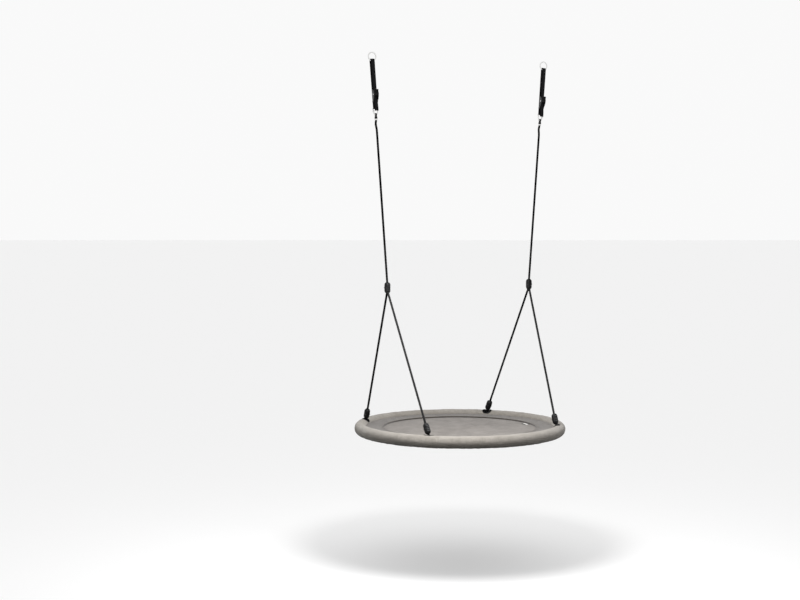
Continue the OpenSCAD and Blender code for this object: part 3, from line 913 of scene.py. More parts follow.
def link_points():
    """The link's wire from one side of its mouth round to the other, in (x, height)."""
    foot_z = LINK_BEND_R - LINK_FOOT
    set_in = 0.00077
    top_x = (LINK_BEND_R - (foot_z + WEB_LOOP) * math.sin(LINK_SIDE)) / math.cos(LINK_SIDE) - set_in
    top_z = -WEB_LOOP
    bend = [polar(LINK_BEND_R, t) for t in np.linspace(-LINK_SIDE, LINK_SIDE - math.pi, 21)]
    side = []
    for k in range(7):
        low = polar(LINK_BEND_R, -LINK_SIDE)
        along = 0.0035 * k
        side.append((low[0] + along * math.sin(LINK_SIDE), low[1] + along * math.cos(LINK_SIDE) + foot_z))
    corner = [(top_x + 0.0004, top_z - 0.0012), (top_x - 0.0012, top_z)]
    points = [(x, foot_z + z) for x, z in bend]
    points += [(-x, z) for x, z in side[1:] + corner]
    points += [(x, top_z) for x in np.linspace(-0.0105, 0.0105, 8)]
    return points + corner[::-1] + side[::-1]


def make_link(name, side):
    """A quick link: its bent wire with a screw sleeve over the mouth."""
    wire = [(side * x, 0, z) for x, z in link_points()]
    points, _ = resample(wire, 0.0009)
    kernel = np.ones(3) / 3
    for k in (0, 2):
        soft = np.convolve(points[:, k], kernel, "same")
        points[1:-1, k] = soft[1:-1]
    mesh = moved(tube(f"quick_link_{name}", points, LINK_R, around=20), hanger(side))
    piece(f"quick_link_{name}", mesh, zinc, "buckles", "zinc_steel", f"link_{name}")
    sleeve = prism("sleeve", hexagon(0.0044), 0.009, "Z", bevel=0.0005)
    cone = lathe("cone", mirrored([(0.0046, 0.0029), (0.0040, 0.0045), (0, 0.0045)]))
    sleeve = boolean(boolean(sleeve, [cone], "INTERSECT"), [drum("bore", LINK_R + 0.0001, 0.01)])
    smooth(sleeve, 30)
    place = (hanger(side) @ shift(z=-(LINK_FOOT - LINK_BEND_R)) @ turn(side * LINK_SIDE, "Y")
             @ shift(side * LINK_BEND_R, 0, 0.007))
    piece(f"quick_link_sleeve_{name}", moved(sleeve, place), zinc, f"sleeve_{name}", "zinc_steel",
          f"link_sleeve_{name}")


def make_rope_end(name, side):
    """The moulded eye on the rope's end, and its bright crimped collar."""
    depth = FITTING_END - LINK_FOOT
    body = lathe("body", [(0, -depth), (FITTING_R - 0.0006, -depth), (FITTING_R, -depth + 0.0006),
                          (FITTING_R, -0.0105), (FITTING_R - 0.0016, -0.0068), (0.0034, -0.0048),
                          (0, -0.0046)])
    lug = lathe("lug", mirrored([(0.0076, 0.0022), (0.0068, 0.003), (0, 0.003)]))
    eye = boolean(body, [along_x(lug)], "UNION")
    hole = lathe("hole", mirrored([(0.0042, 0.0018), (0.0062, 0.01), (0, 0.01)]), 32)
    eye = boolean(eye, [along_x(hole, z=0.0004)])
    smooth(eye, 35)
    mesh = moved(eye, hanger(side, LINK_FOOT))
    piece(f"rope_eye_{name}", mesh, black_plastic, f"rope_{name}", "black_plastic", f"rope_end_{name}")
    r, groove = FITTING_R + 0.0006, 0.0004
    profile = [(ROPE_R + 0.0001, 0), (r - 0.0007, 0), (r - 0.0002, 0.0004), (r, 0.001), (r, 0.0018),
               (r - groove, 0.0022), (r - groove, 0.0027), (r, 0.0031), (r, 0.0036), (r - groove, 0.0040),
               (r - groove, 0.0045), (r, 0.0049), (r - 0.0003, 0.0056), (r - 0.0009, 0.006),
               (ROPE_R + 0.0001, 0.006)]
    rows = [[(*polar(r, t), z) for r, z in profile] for t in np.arange(48) * math.tau / 48]
    collar = grid("collar", rows, wrap_u=True, wrap_v=True)
    clean(collar)
    smooth(collar, 35)
    mesh = moved(collar, hanger(side, COLLAR_END))
    piece(f"rope_ferrule_{name}", mesh, bright, f"rope_{name}", "zinc_steel", f"rope_collar_{name}")


def make_buckle(name, side):
    m = hanger(side)
    floor_y = -STRAP_Y + WEB_T / 2 + 0.0003
    outline = [(floor_y + 0.0015, -BUCKLE_TOP), (-0.009, -BUCKLE_TOP), (-0.0195, -BUCKLE_TOP - 0.011),
               (-0.021, -CAM_DEPTH), (-0.016, -BUCKLE_END + 0.012), (-0.0084, -BUCKLE_END),
               (BAR_Y - 0.004, -BAR_DEPTH - 0.004), (BAR_Y + 0.004, -BAR_DEPTH - 0.004),
               (BAR_Y + 0.004, -BUCKLE_END + 0.002), (floor_y + 0.0015, -BUCKLE_END + 0.002)]
    parts = []
    for s in (-1, 1):
        cheek = prism("cheek", rounded(outline), CHEEK_T, "X", bevel=0.00035)
        cheek.transform(shift(s * (CHEEK_X + CHEEK_T / 2)))
        parts.append(cheek)
    plate_h = BUCKLE_END - BUCKLE_TOP - 0.002
    plate = prism("plate", oval(0.004, plate_h - 0.008, 6), 0.0015, "Y", bevel=0.0003)
    plate.transform(Matrix.Diagonal(((CHEEK_X + 0.0006) / 0.004, 1, 1, 1)))
    plate.transform(shift(0, floor_y + 0.00075, -(BUCKLE_TOP + BUCKLE_END - 0.002) / 2))
    parts.append(plate)
    bar = [(x, BAR_Y, -BAR_DEPTH) for x in np.linspace(-CHEEK_X - 0.001, CHEEK_X + 0.001, 5)]
    parts.append(tube("bar", bar, BAR_R, 20))
    for s in (-1, 1):
        boss = lathe("boss", [(0, -0.0008), (0.0038, -0.0008), (0.0041, -0.0004), (0.0041, 0.0004),
                              (0.0036, 0.0008), (0, 0.0008)], 32)
        parts.append(along_x(boss, s * (CHEEK_X + CHEEK_T), CAM_Y, -CAM_DEPTH))
    frame_mesh = moved(joined(parts), m)
    piece(f"buckle_{name}", frame_mesh, black_steel, "buckles", "buckle_steel", f"buckle_frame_{name}")
    pin = lathe("pin", mirrored([(0.002, 0.0131), (0.003, 0.0133), (0.003, 0.0139), (0.0022, 0.0145),
                                 (0, 0.0145)]), 32)
    mesh = moved(along_x(pin, 0, CAM_Y, -CAM_DEPTH), m)
    piece(f"buckle_pin_{name}", mesh, zinc, "buckles", "zinc_steel", f"cam_pin_{name}")


def cam_outline():
    """The cam, seen from its side: teeth where it bites the webbing, round elsewhere."""
    points = []
    steps = 72
    for k in range(steps):
        a = math.tau * k / steps
        bite = abs(math.remainder(a + 0.35, math.tau)) < 0.75
        tooth = (k % 4) / 4 * 0.0006 if bite else 0
        points.append(polar(CAM_R - tooth, a))
    return points


def make_cam(name, side):
    """The cam with its thumb lever, and its spring."""
    width = 2 * CHEEK_X - 0.0008
    cam = prism("cam", cam_outline(), width)
    lever = [(-0.0012, 0.002), (-0.0057, 0.0200), (-0.0077, 0.0226), (-0.0096, 0.0222), (-0.0092, 0.0204),
             (-0.0083, 0.0190), (-0.0050, 0.0050), (-0.0045, 0.0)]
    plate = prism("lever", rounded(lever, 1), width, "X", bevel=0.0005)
    body = boolean(cam, [plate], "UNION")
    hole = along_x(drum("hole", 0.0021, 0.03))
    room = along_x(drum("spring_room", 0.0042, 0.0045))
    way_in = prism("way_in", [(-0.0042, -0.008), (0.0, -0.008), (0.0, 0.0), (-0.0042, 0.0)], 0.009)
    body = boolean(body, [hole, room, way_in])
    grips = []
    for k in range(6):
        z = 0.0075 + 0.0021 * k
        y = -0.0058 - (z - 0.0075) * 0.25
        grip = prism("grip", oval(0.00045, 0.0152, 4), 0.0009, "Y", bevel=0.00015)
        grip.transform(shift(0, y, z) @ turn(math.pi / 2, "Y"))
        grips.append(grip)
    body = joined([body] + grips)
    smooth(body, 35)
    m = hanger(side) @ shift(0, CAM_Y, -CAM_DEPTH)
    piece(f"thumb_lever_{name}", moved(body, m), black_plastic, f"cam_{name}", "buckle_plastic",
          f"cam_lever_{name}")
    turns, coil_r, half = 7, 0.0031, 0.0034
    shares = [k / (turns * 20) for k in range(turns * 20 + 1)]
    coil = [(half * (2 * t - 1), *polar(coil_r, math.tau * turns * t)) for t in shares]
    piece(f"coil_spring_{name}", moved(tube("coil", coil, 0.00045, 8), m), spring_steel, f"cam_{name}",
          "spring_steel", f"cam_spring_{name}")


for name, side in SIDES.items():
    make_webbing(name, side)
    make_ring(name, side)
    make_link(name, side)
    make_rope_end(name, side)
    make_buckle(name, side)
    make_cam(name, side)

# ---------- rope junctions and rim couplings ----------

RIB_PITCH = 0.008
RIB_H = 0.0022
SCREW_Y = 0.0096


def capsule_half(direction):
    """Half of a flattened capsule, with soft edges where it is flat, cut at its mating face."""
    round_end = [polar(CAP_R, t) for t in np.linspace(0, math.pi / 2 - 0.12, 13)]
    end = [(r, CAP_C + z) for r, z in round_end] + [(0, CAP_C + CAP_R)]
    straight = [(CAP_R, z) for z in np.linspace(-CAP_C, CAP_C, 9)[1:-1]]
    profile = [(r, -z) for r, z in end[::-1]] + straight + end
    mesh = lathe("half", profile, 64, 180)
    soft, flat = 0.0007, COUPLING_T / 2
    for v in mesh.vertices:
        x = abs(v.co.x)
        v.co.x = math.copysign(-soft * math.log(math.exp(-x / soft) + math.exp(-flat / soft)), v.co.x)
    with editing(mesh) as bm:
        bmesh.ops.bisect_plane(bm, geom=bm.verts[:] + bm.edges[:] + bm.faces[:], clear_inner=True,
                               plane_co=(direction * 0.00015, 0, 0), plane_no=(direction, 0, 0))
        bmesh.ops.holes_fill(bm, edges=[e for e in bm.edges if e.is_boundary])
        bmesh.ops.recalc_face_normals(bm, faces=bm.faces)
    return mesh


def two_tone(mesh, index):
    """Gives a mesh the shells' black (0) and the ribs' paler grey (1), a painted highlight, and uses one of
    them.
    """
    for material in (black_plastic, rib_plastic_painted_highlight):
        mesh.materials.append(material)
    for face in mesh.polygons:
        face.material_index = index


def coupling_half(ribbed, junction):
    """One half of a coupling. A junction's foot is slotted for the two rope legs."""
    direction = 1 if ribbed else -1
    mesh = capsule_half(direction)
    two_tone(mesh, 0)
    face = direction * COUPLING_T / 2
    added = []
    if ribbed:
        for k in range(4):
            rib = prism("rib", oval(0.0013, 0.0120, 6), RIB_H + 0.001, bevel=0.0006)
            two_tone(rib, 0 if junction else 1)       # only the couplings' ribs are painted paler as highlight
            place = shift(face + RIB_H / 2 - 0.0005, 0, (k - 1.5) * RIB_PITCH)
            rib.transform(place @ turn(math.pi / 2, "X"))
            added.append(rib)
    else:
        rim = prism("rim", oval(0.0066, 0.023, 16), 0.0028, bevel=0.0004)
        rim = boolean(rim, [prism("inside", oval(0.0050, 0.023, 16), 0.01)])
        rim.transform(shift(face - 0.0004))
        added.append(rim)
    mesh = boolean(mesh, added, "UNION")
    mouth = CAP_C + CAP_R + 0.001
    snug = ROPE_R + 0.0002
    top = [(snug, mouth - 0.008), (0.0066, mouth - 0.003), (0.0078, mouth)]
    if junction:
        top = [(snug, CAP_C), (0.0096, mouth)]
    foot = [(0.0078, -mouth), (0.0066, -mouth + 0.003), (snug, -mouth + 0.008)]
    cuts = [lathe("bore", [(0, -mouth), *foot, *top, (0, mouth)], 40)]
    for s in (-1, 1):
        cuts.append(along_x(drum("screw", 0.0016, 0.03, 20), y=s * SCREW_Y))
        if not ribbed:
            head = lathe("head", [(0, -0.0025), (0.0032, -0.0025), (0.0036, 0.0025), (0, 0.0025)], 28)
            head.transform(shift(face, s * SCREW_Y, 0) @ turn(-math.pi / 2, "Y"))
            cuts.append(head)
    if junction:
        cuts.append(prism("fan", leg_fan(), 2 * ROPE_R + 0.0012, "Y"))
    mesh = boolean(mesh, cuts)
    smooth(mesh, 32)
    return mesh


def leg_fan():
    """The room, in (x, z), that the two rope legs sweep as the seat tilts."""
    foot, top = leg_ends(1, 1)
    pivot = TILT_Z - JUNCTION_Z
    spread = math.atan2(foot.y, top.z - foot.z) + math.radians(JOINTS["seat_tilt"]["range_deg"][1] + 2)
    r, reach = ROPE_R + 0.0005, 0.03
    fan = [polar(r, t) for t in np.linspace(spread, math.pi - spread, 9)]
    corner_x = reach * math.sin(spread) + fan[0][0]
    corner_z = fan[0][1] - reach * math.cos(spread)
    return [(x, pivot + z) for x, z in [(corner_x, corner_z), *fan, (-corner_x, corner_z)]]


def coupling_screws():
    """The two screws of one coupling, with hexagon sockets."""
    parts = []
    for s in (-1, 1):
        screw = lathe("screw", [(0, -0.0095), (0.0015, -0.0095), (0.0015, 0.0085), (0.0029, 0.0088),
                                (0.0030, 0.0102), (0.0024, 0.0108), (0, 0.0108)], 32)
        socket = prism("socket", hexagon(0.0013), 0.003, "Z")
        socket.transform(shift(z=0.0108))
        screw = boolean(screw, [socket])
        smooth(screw, 35)
        screw.transform(shift(0, s * SCREW_Y, 0) @ turn(-math.pi / 2, "Y"))
        parts.append(screw)
    return joined(parts)


def make_couplings():
    screw_steel = metal("screw_steel", (0.07, 0.07, 0.072), 0.42)
    screws = coupling_screws()
    for junction, half in ((True, "junction"), (False, "coupling")):
        ribbed, plain = coupling_half(True, junction), coupling_half(False, junction)
        spots = []
        for name, side in SIDES.items():
            if junction:
                spots.append((name, at_junction(side)))
                continue
            for face_name, face in FACES.items():
                spots.append((f"{face_name}_{name}", on_leg(side, face, COUPLING_ALONG)))
        body = "junctions" if junction else "seat"
        for label, place in spots:
            for kind, mesh in (("ribbed", ribbed), ("plain", plain)):
                piece(f"{half}_{kind}_half_{label}", moved(mesh, place), None, body, "black_plastic",
                      f"{half}_{kind}_{label}")
        heads = joined([moved(screws, place) for _, place in spots])
        smooth(heads, 35)
        piece(f"{half}_socket_screws", heads, screw_steel, body, "screw_steel", f"{half}_screws")


make_couplings()

# ---------- the cover, the bands and the panel ----------

LEG_OUT_H = 0.027       # height over the rim's middle where the legs leave the cover
LEG_FOOT, LEG_TOP = leg_ends(1, 1)
LEG_OUT = LEG_FOOT + (LEG_TOP - LEG_FOOT) * LEG_OUT_H / (LEG_TOP - LEG_FOOT).z
OPENING_R = math.hypot(LEG_OUT.x, LEG_OUT.y)
COVER_T = 0.001
BINDING_R = 0.0017
UNDER_SEAM = 0.004       # the lower band is sewn in this far under the upper one
TUCK = 0.0022            # how far the bands go into the seams at the rim
SEAM_MID_R = SEAM_R - BINDING_R
SEAM_MID_Z = SEAM_Z - BINDING_R
CREASE = math.pi - math.asin(COVER_BAND_RISE / RIM_R)       # where the bands meet the rim,
UNDER_CREASE = math.pi + math.asin(UNDER_BAND_DROP / RIM_R)  # round its section
BAND_R = RING_R + RIM_R * math.cos(CREASE) + 0.0004
UNDER_BAND_R = RING_R + RIM_R * math.cos(UNDER_CREASE) + 0.0004
CROSS_SEAMS = [LEG_ANGLE + math.radians(184.5), LEG_ANGLE + math.radians(4.5)]
BAND_IN_R = SEAM_R + 0.0001                 # the bands' inner edge
OPENING_STRAIGHT = (OPENING_W - OPENING_D) / 2              # half of an opening's straight side

COVER_DARK, COVER_LIGHT = (0.192, 0.174, 0.153), (0.342, 0.322, 0.292)
PANEL_DARK, PANEL_LIGHT = (0.120, 0.107, 0.096), (0.228, 0.208, 0.190)
cover_cloth = cloth("cover_cloth", COVER_DARK, COVER_LIGHT, 0.0022, fleck=0.75)
# the bands are the cover's own fabric painted about half as bright: painted shade
BAND_DARK, BAND_LIGHT = (0.096, 0.087, 0.079), (0.172, 0.158, 0.147)
# the band is painted darker towards the seam: painted shade
band_cloth = cloth("band_cloth", BAND_DARK, BAND_LIGHT, 0.0022, fleck=0.6, tint=band_seam_painted_shade)
panel_cloth = cloth("panel_cloth", PANEL_DARK, PANEL_LIGHT, 0.0030, bump=0.0009)
# the binding is the band's cloth with painted shade, darkest down the step's wall
binding_cloth = cloth("binding_cloth", BAND_DARK, BAND_LIGHT, 0.0012, bump=0.0003, tint=binding_painted_shade)
black_tape = webbing_cloth("black_tape")
taupe_thread = thread_material("taupe_thread", (0.15, 0.13, 0.115))


def wave(x, y, z, scale, seed):
    """Smooth noise between about -1 and 1."""
    return noise.noise(Vector((x, y, z)) * scale + Vector((17.3, 5.1, 9.7)) * seed)


def hump(distance, width):
    """1 at no distance, falling smoothly to nothing past the width."""
    return math.exp(-(distance / width) ** 2)


def opening_frames():
    """Places over each cover opening: where a rope leg comes out, with X out of the seat."""
    for side in SIDES.values():
        for face in FACES.values():
            a = math.atan2(face * LEG_OUT.y, side * LEG_OUT.x)
            yield turn(a, "Z") @ shift(OPENING_R, 0, 0)


def oval_distance(x, y):
    """Distance outside a cover opening's outline, whose long way runs along the rim (y)."""
    return math.hypot(x, max(0.0, abs(y) - OPENING_STRAIGHT)) - OPENING_D / 2


def rim_point(phi, theta, r):
    """A point of the rim: round the seat by phi, round the rim's section by theta."""
    out, up = polar(r, theta)
    return (*polar(RING_R + out, phi), RIM_Z + up)


def seam_groove(phi):
    """How far the cross seams pull the cover in."""
    groove = 0.0
    for seam in CROSS_SEAMS:
        d = math.remainder(phi - seam, math.tau) * RING_R
        groove += 0.0010 * hump(d, 0.0018) - 0.0004 * hump(abs(d) - 0.006, 0.003)
    return groove


def rim_radius(phi, theta):
    """The rim's section radius: pulled in at the bands, with soft puckers beside them."""
    r = RIM_R - 0.0010
    for crease in (CREASE, UNDER_CREASE):
        r -= 0.0016 * hump(theta - crease, 0.11)
    x, y = polar(1, phi)
    pull = hump(theta - CREASE + 0.25, 0.40) + 0.6 * hump(theta - UNDER_CREASE, 0.5)
    r += 0.0009 * pull * wave(x, y, 0.12 * theta, 26.0, 3)
    r += 0.0004 * wave(x, y, 0.3 * theta, 5.5, 1) + 0.0002 * wave(x, y, 0.15 * theta, 17.0, 2)
    return r


def simulated_folds(mesh, sewn, steps, around):
    """The folds that swelling gives the cover, as changes of its section radius: up to 1.2 mm
    beside the bands and 0.4 mm elsewhere."""
    places = [v.co for v in inflate(mesh, sewn).vertices]
    r = np.array([math.hypot(p.xy.length - RING_R, p.z - RIM_Z) for p in places]).reshape(steps, around)
    theta = np.arange(around) * math.tau / around
    beside = np.exp(-((theta - CREASE) / 0.5) ** 2) + np.exp(-((theta - UNDER_CREASE) / 0.5) ** 2)
    limit = 0.0004 + 0.0008 * np.minimum(1.0, beside)
    return np.clip(r - r.mean(axis=0), -limit, limit)


def inflate(mesh, sewn, frames=12):
    """Swells the padded cover by cloth simulation; its sewn points stay where they are."""
    obj = new_object("cover_simulation", mesh, cover_cloth)
    obj.vertex_groups.new(name="sewn").add(sewn, 1.0, "REPLACE")
    mod = obj.modifiers.new("cloth", "CLOTH")
    values = {"quality": 4, "mass": 0.3, "tension_stiffness": 12, "compression_stiffness": 12,
              "shear_stiffness": 4, "bending_stiffness": 0.3, "use_pressure": True,
              "uniform_pressure_force": 4, "vertex_group_mass": "sewn", "shrink_min": -0.02}
    for name, value in values.items():
        setattr(mod.settings, name, value)
    mod.settings.effector_weights.gravity = 0
    mod.collision_settings.use_collision = False
    mod.point_cache.frame_end = frames
    scene = bpy.context.scene
    for frame_number in range(1, frames + 1):
        scene.frame_set(frame_number)
    result = evaluated(obj)
    bpy.data.objects.remove(obj)
    scene.frame_set(1)
    return result


def make_rim_cover():
    steps, around = 600, 44
    phis = [math.tau * i / steps for i in range(steps)]
    thetas = [math.tau * j / around for j in range(around)]
    radii = np.array([[rim_radius(phi, theta) for theta in thetas] for phi in phis])
    points = [[rim_point(phi, theta, r) for theta, r in zip(thetas, row)] for phi, row in zip(phis, radii)]
    near = [min(abs(t - CREASE), abs(t - UNDER_CREASE)) < 0.6 * math.tau / around for t in thetas]
    sewn = [i * around + j for i in range(steps) if i % 3 != 2 for j in range(around) if near[j]]
    us = np.arange(steps + 1) * math.tau * RING_R / steps
    vs = np.arange(around + 1) * math.tau * RIM_R / around
    mesh = grid("rim_cover_cloth", points, True, True, us, vs)
    with editing(mesh) as bm:
        bmesh.ops.recalc_face_normals(bm, faces=bm.faces)
    radii += simulated_folds(mesh, sewn, steps, around)
    for i, phi in enumerate(phis):
        for j, theta in enumerate(thetas):
            r = min(RIM_R, radii[i, j] - seam_groove(phi))
            mesh.vertices[i * around + j].co = rim_point(phi, theta, r)
    cut_openings(mesh)
    cover = thickened(mesh, COVER_T)
    cover.shade_smooth()
    obj = piece("rim_cover_cloth", cover, cover_cloth, "seat", "cover_fabric", "rim_cover")


def cut_openings(mesh):
    """Cuts the four oval openings for the rope legs in the cover."""
    with editing(mesh) as bm:
        for place in opening_frames():
            back = place.inverted()
            inside = {}
            for v in bm.verts:
                local = back @ v.co
                near = v.co.z > RIM_Z and abs(local.x) < 0.03 and abs(local.y) < 0.04
                if near and oval_distance(local.x, local.y) < 0.0012:
                    inside[v] = local
            doomed = [f for f in bm.faces if all(v in inside for v in f.verts)]
            edge = {v for f in doomed for v in f.verts}
            bmesh.ops.delete(bm, geom=doomed, context="FACES")
            for v in edge:
                if v.is_valid:
                    v.co = place @ on_outline(inside[v])


def on_outline(local):
    """The point of an opening's outline nearest to a point of the cover."""
    foot = Vector((0, max(-OPENING_STRAIGHT, min(OPENING_STRAIGHT, local.y)), 0))
    out = Vector((local.x, local.y, 0)) - foot
    p = foot + out.normalized() * OPENING_D / 2
    p.z = rim_height(p.x)
    return p


def rim_height(x):
    """Height of the cover above a point x outside the openings' middle, near a rope leg."""
    rho = OPENING_R + x - RING_R
    return RIM_Z + math.sqrt(max(1e-9, (RIM_R - 0.0006) ** 2 - rho * rho))


def make_trims():
    """Black tape folded over the edge of each cover opening, with its stitches."""
    profile = [(-0.0009, -0.0018), (-0.0014, -0.0006), (-0.0011, 0.0007), (-0.0002, 0.0013),
               (0.0012, 0.0014), (0.0026, 0.0011), (0.0031, 0.0006), (0.0030, -0.0002),
               (0.0012, -0.0003), (0.0002, -0.0005), (0.0000, -0.0017)]
    meshes, threads = [], []
    count = 112
    for place in opening_frames():
        rows, lengths = [], []
        for k in range(count):
            s = k / count * (4 * OPENING_STRAIGHT + math.pi * OPENING_D)
            x, y, ox, oy = oval_at(s, OPENING_STRAIGHT, OPENING_D / 2)
            z = rim_height(x)
            slope = -(OPENING_R + x - RING_R) / max(0.004, z - RIM_Z)
            normal = Vector((-slope, 0, 1)).normalized()
            out = Vector((ox, oy, slope * ox)).normalized()
            rows.append([Vector((x, y, z)) + out * a + normal * b for a, b in profile])
            lengths.append(s)
            if k % 3 == 0:
                along = Vector((-oy, ox, -slope * oy))
                spot = Vector((x, y, z)) + out * 0.0019 + normal * 0.0014
                threads.append(moved(stitch(spot, along, 0.0024, 0.00028), place))
        lengths.append(lengths[-1] + lengths[1])
        vs = np.arange(len(profile) + 1) * 0.0009 - 0.004
        meshes.append(moved(grid("trim", rows, True, True, lengths, vs), place))
    trims = joined(meshes)
    clean(trims, 1e-7)
    trims.shade_smooth()
    piece("opening_tapes", trims, black_tape, "seat", "black_tape", "opening_trims")
    piece("opening_tape_stitches", joined(threads), black_thread, "seat", "black_tape")


def oval_at(s, straight, r):
    """Point and outward direction at a distance s along an opening's outline."""
    side = 1
    if s >= 2 * straight + math.pi * r:
        side = -1
        s -= 2 * straight + math.pi * r
    if s < 2 * straight:
        return side * r, side * (s - straight), side, 0.0
    out_x, out_y = polar(side, (s - 2 * straight) / r)
    return r * out_x, side * straight + r * out_y, out_x, out_y


def layer_uv(mesh):
    """UVs round the seat's middle and up."""
    x, y, z = places_of(mesh)
    cloth_uv(mesh, (np.arctan2(y, x) + math.pi) * SEAM_R, z + np.hypot(x, y))


def ring_band(name, outline, ripple, steps=720):
    """A closed ring of a section given by (r, z, share) points; ripple(phi, share) lifts it."""
    phis = [math.tau * i / steps for i in range(steps)]
    rows = [[(*polar(r, phi), z + ripple(phi, share)) for r, z, share in outline] for phi in phis]
    mesh = grid(name, rows, True, True)
    clean(mesh, 1e-8)
    return mesh


def band_outline(outer_r, outer_z, inner_z, sag, cols=20):
    """A band's section: its upper side inwards, then its lower side back out."""
    line = []
    for k in range(cols + 1):
        t = k / cols
        z = outer_z + (inner_z - outer_z) * t - sag * 4 * t * (1 - t)
        line.append((outer_r + (BAND_IN_R - outer_r) * t, z, t))
    return [(r, z + COVER_T, t) for r, z, t in line] + line[::-1]


def band_ripple(seed, size):
    """Soft waves in a band, with puckers beside its two seams; t is 0 at the rim and 1 inside."""
    def beside(distance):
        return hump(distance, 0.22) * (1 - hump(distance, 0.03))

    def ripple(phi, t):
        x, y = polar(1, phi)
        held = math.sin(math.pi * min(1, max(0, t)))
        broad = held * (wave(x, y, 0.8 * t, 4.0, seed) + 0.5 * wave(x, y, 1.2 * t, 10, seed + 1))
        return size * (broad + 0.55 * (beside(1 - t) + beside(t)) * wave(x, y, 0, 30, seed + 2))
    return ripple


def stitch_row(r, height, pitch, length, radius=0.0004):
    """A ring of stitches at radius r; height(phi) is the cloth under them."""
    count = int(round(math.tau * r / pitch))
    rows = []
    for phi in np.arange(count) * math.tau / count:
        rows.append(stitch((*polar(r, phi), height(phi)), (*polar(1, phi + math.pi / 2), 0), length, radius))
    return rows


def sewn_band(label, outline, ripple, turned):
    """One of the cover's two inner bands, sewn in flat between the rim and the seam."""
    name = f"{label}_cloth"
    mesh = ring_band(name, outline, ripple)
    planar_uv(mesh, turned)
    obj = piece(name, mesh, band_cloth, "seat", "cover_fabric", label)


def make_bands():
    sag = 0.0012
    rim_z, under_z = RIM_Z + COVER_BAND_RISE, RIM_Z - UNDER_BAND_DROP - COVER_T
    ripple = band_ripple(11, 0.0014)
    outline = band_outline(BAND_R + TUCK, rim_z, SEAM_MID_Z, sag)
    sewn_band("cover_band", outline, ripple, 0.6)
    under_outline = band_outline(UNDER_BAND_R + TUCK, under_z, SEAM_MID_Z - UNDER_SEAM, -sag * 0.4)
    sewn_band("under_band", under_outline, band_ripple(21, 0.0008), 0.2)

    def top_at(r):
        t = (r - BAND_R) / (BAND_IN_R - BAND_R)
        base = rim_z + (SEAM_MID_Z - rim_z) * t - sag * 4 * t * (1 - t) + COVER_T
        return lambda phi: base + ripple(phi, t) + 0.0001

    rows = []
    for r in (SEAM_MID_R + 0.0052, SEAM_MID_R + 0.0092, BAND_R - 0.005):
        rows += stitch_row(r, top_at(r), 0.0052, 0.0036)
    piece("band_stitches", joined(rows), taupe_thread, "seat", "cover_fabric")


def make_binding():
    """The tape down the step from the seam to the panel, painted dark down the step as shade."""
    drop = SEAM_MID_Z - (PANEL_TOP - PANEL_T / 2)
    mid, r = SEAM_MID_R, BINDING_R
    outline = [(mid + r * math.sin(t), r * math.cos(t)) for t in np.linspace(-1.4, 1.4, 9)]
    outline += [(mid + r, -drop * k / 4) for k in (1, 2, 3)]
    outline += [(mid + r * math.sin(t), r * math.cos(t) - drop) for t in np.linspace(1.7, 4.6, 9)]
    outline += [(mid - r, -drop * k / 4) for k in (3, 2, 1)]
    outline = [(r, SEAM_MID_Z + z, 0) for r, z in outline]
    mesh = ring_band("seam_tape", outline, lambda phi, _: 0.0003 * wave(*polar(1, phi), 0, 30, 5), 480)
    layer_uv(mesh)
    piece("seam_tape", mesh, binding_cloth, "seat", "binding_fabric", "seam_binding")
    rows = stitch_row(mid - BINDING_R, lambda phi: SEAM_MID_Z - 0.0022, 0.0045, 0.003, 0.00035)
    piece("seam_tape_stitches", joined(rows), black_thread, "seat", "binding_fabric")


def panel_top(x, y):
    """Height of the seat panel's upper side: a shallow dish with soft waves in the cloth."""
    r = math.hypot(x, y)
    sag = PANEL_TOP - PANEL_T - PANEL_LO
    held = max(0.0, 1 - (r / PANEL_R) ** 2)
    waves = 0.0016 * wave(x, y, 0, 4.5, 31) + 0.0008 * wave(x, y, 0, 11, 32)
    pucker = 0.0010 * hump(PANEL_R - r, 0.05) * wave(x / max(r, 1e-6), y / max(r, 1e-6), 0, 22, 33)
    return PANEL_TOP - sag * held + (waves + pucker) * min(1.0, 6 * held)


def make_panel():
    edge = PANEL_R + 0.0012         # into the binding
    rows = []
    for a in np.linspace(-1, 1, 121):
        row = []
        for b in np.linspace(-1, 1, 121):
            x = edge * a * math.sqrt(1 - b * b / 2)
            y = edge * b * math.sqrt(1 - a * a / 2)
            row.append((x, y, panel_top(x, y)))
        rows.append(row)
    mesh = thickened(grid("seat_panel_cloth", rows), PANEL_T)
    smooth(mesh, 60)
    planar_uv(mesh, 0.12)
    obj = piece("seat_panel_cloth", mesh, panel_cloth, "seat", "panel_fabric", "seat_panel")


def make_label():
    """A small woven label, blank, sewn flat to the panel."""
    mid = box_mid("seat_label")
    place = turn(math.atan2(mid.y, mid.x), "Z") @ shift(math.hypot(mid.x, mid.y))
    half_x, half_y, thick = 0.0125, 0.0205, 0.0009

    def on_panel(x, y, height):
        p = place @ Vector((x, y, 0))
        return p.x, p.y, panel_top(p.x, p.y) + height

    xs, ys = np.linspace(-half_x, half_x, 15), np.linspace(-half_y, half_y, 23)
    rows = [[on_panel(x, y, thick) for y in ys] for x in xs]
    mesh = thickened(grid("label", rows, us=xs, vs=ys), thick * 0.8)
    smooth(mesh, 60)
    piece("blank_label", mesh, label_material("label_cloth"), "seat", "label_fabric", "seat_label")
    threads = []
    for sx, sy, n in ((1, 0, 14), (-1, 0, 14), (0, 1, 9), (0, -1, 9)):
        for k in range(n):
            t = 2 * (k + 0.5) / n - 1
            x = (half_x - 0.0012) * (sx if sx else t)
            y = (half_y - 0.0012) * (sy if sy else t)
            along = place.to_3x3() @ Vector((0, 1, 0) if sx else (1, 0, 0))
            threads.append(stitch(on_panel(x, y, thick + 0.0001), along, 0.0018, 0.00022))
    piece("label_stitches", joined(threads), black_thread, "seat", "label_fabric")


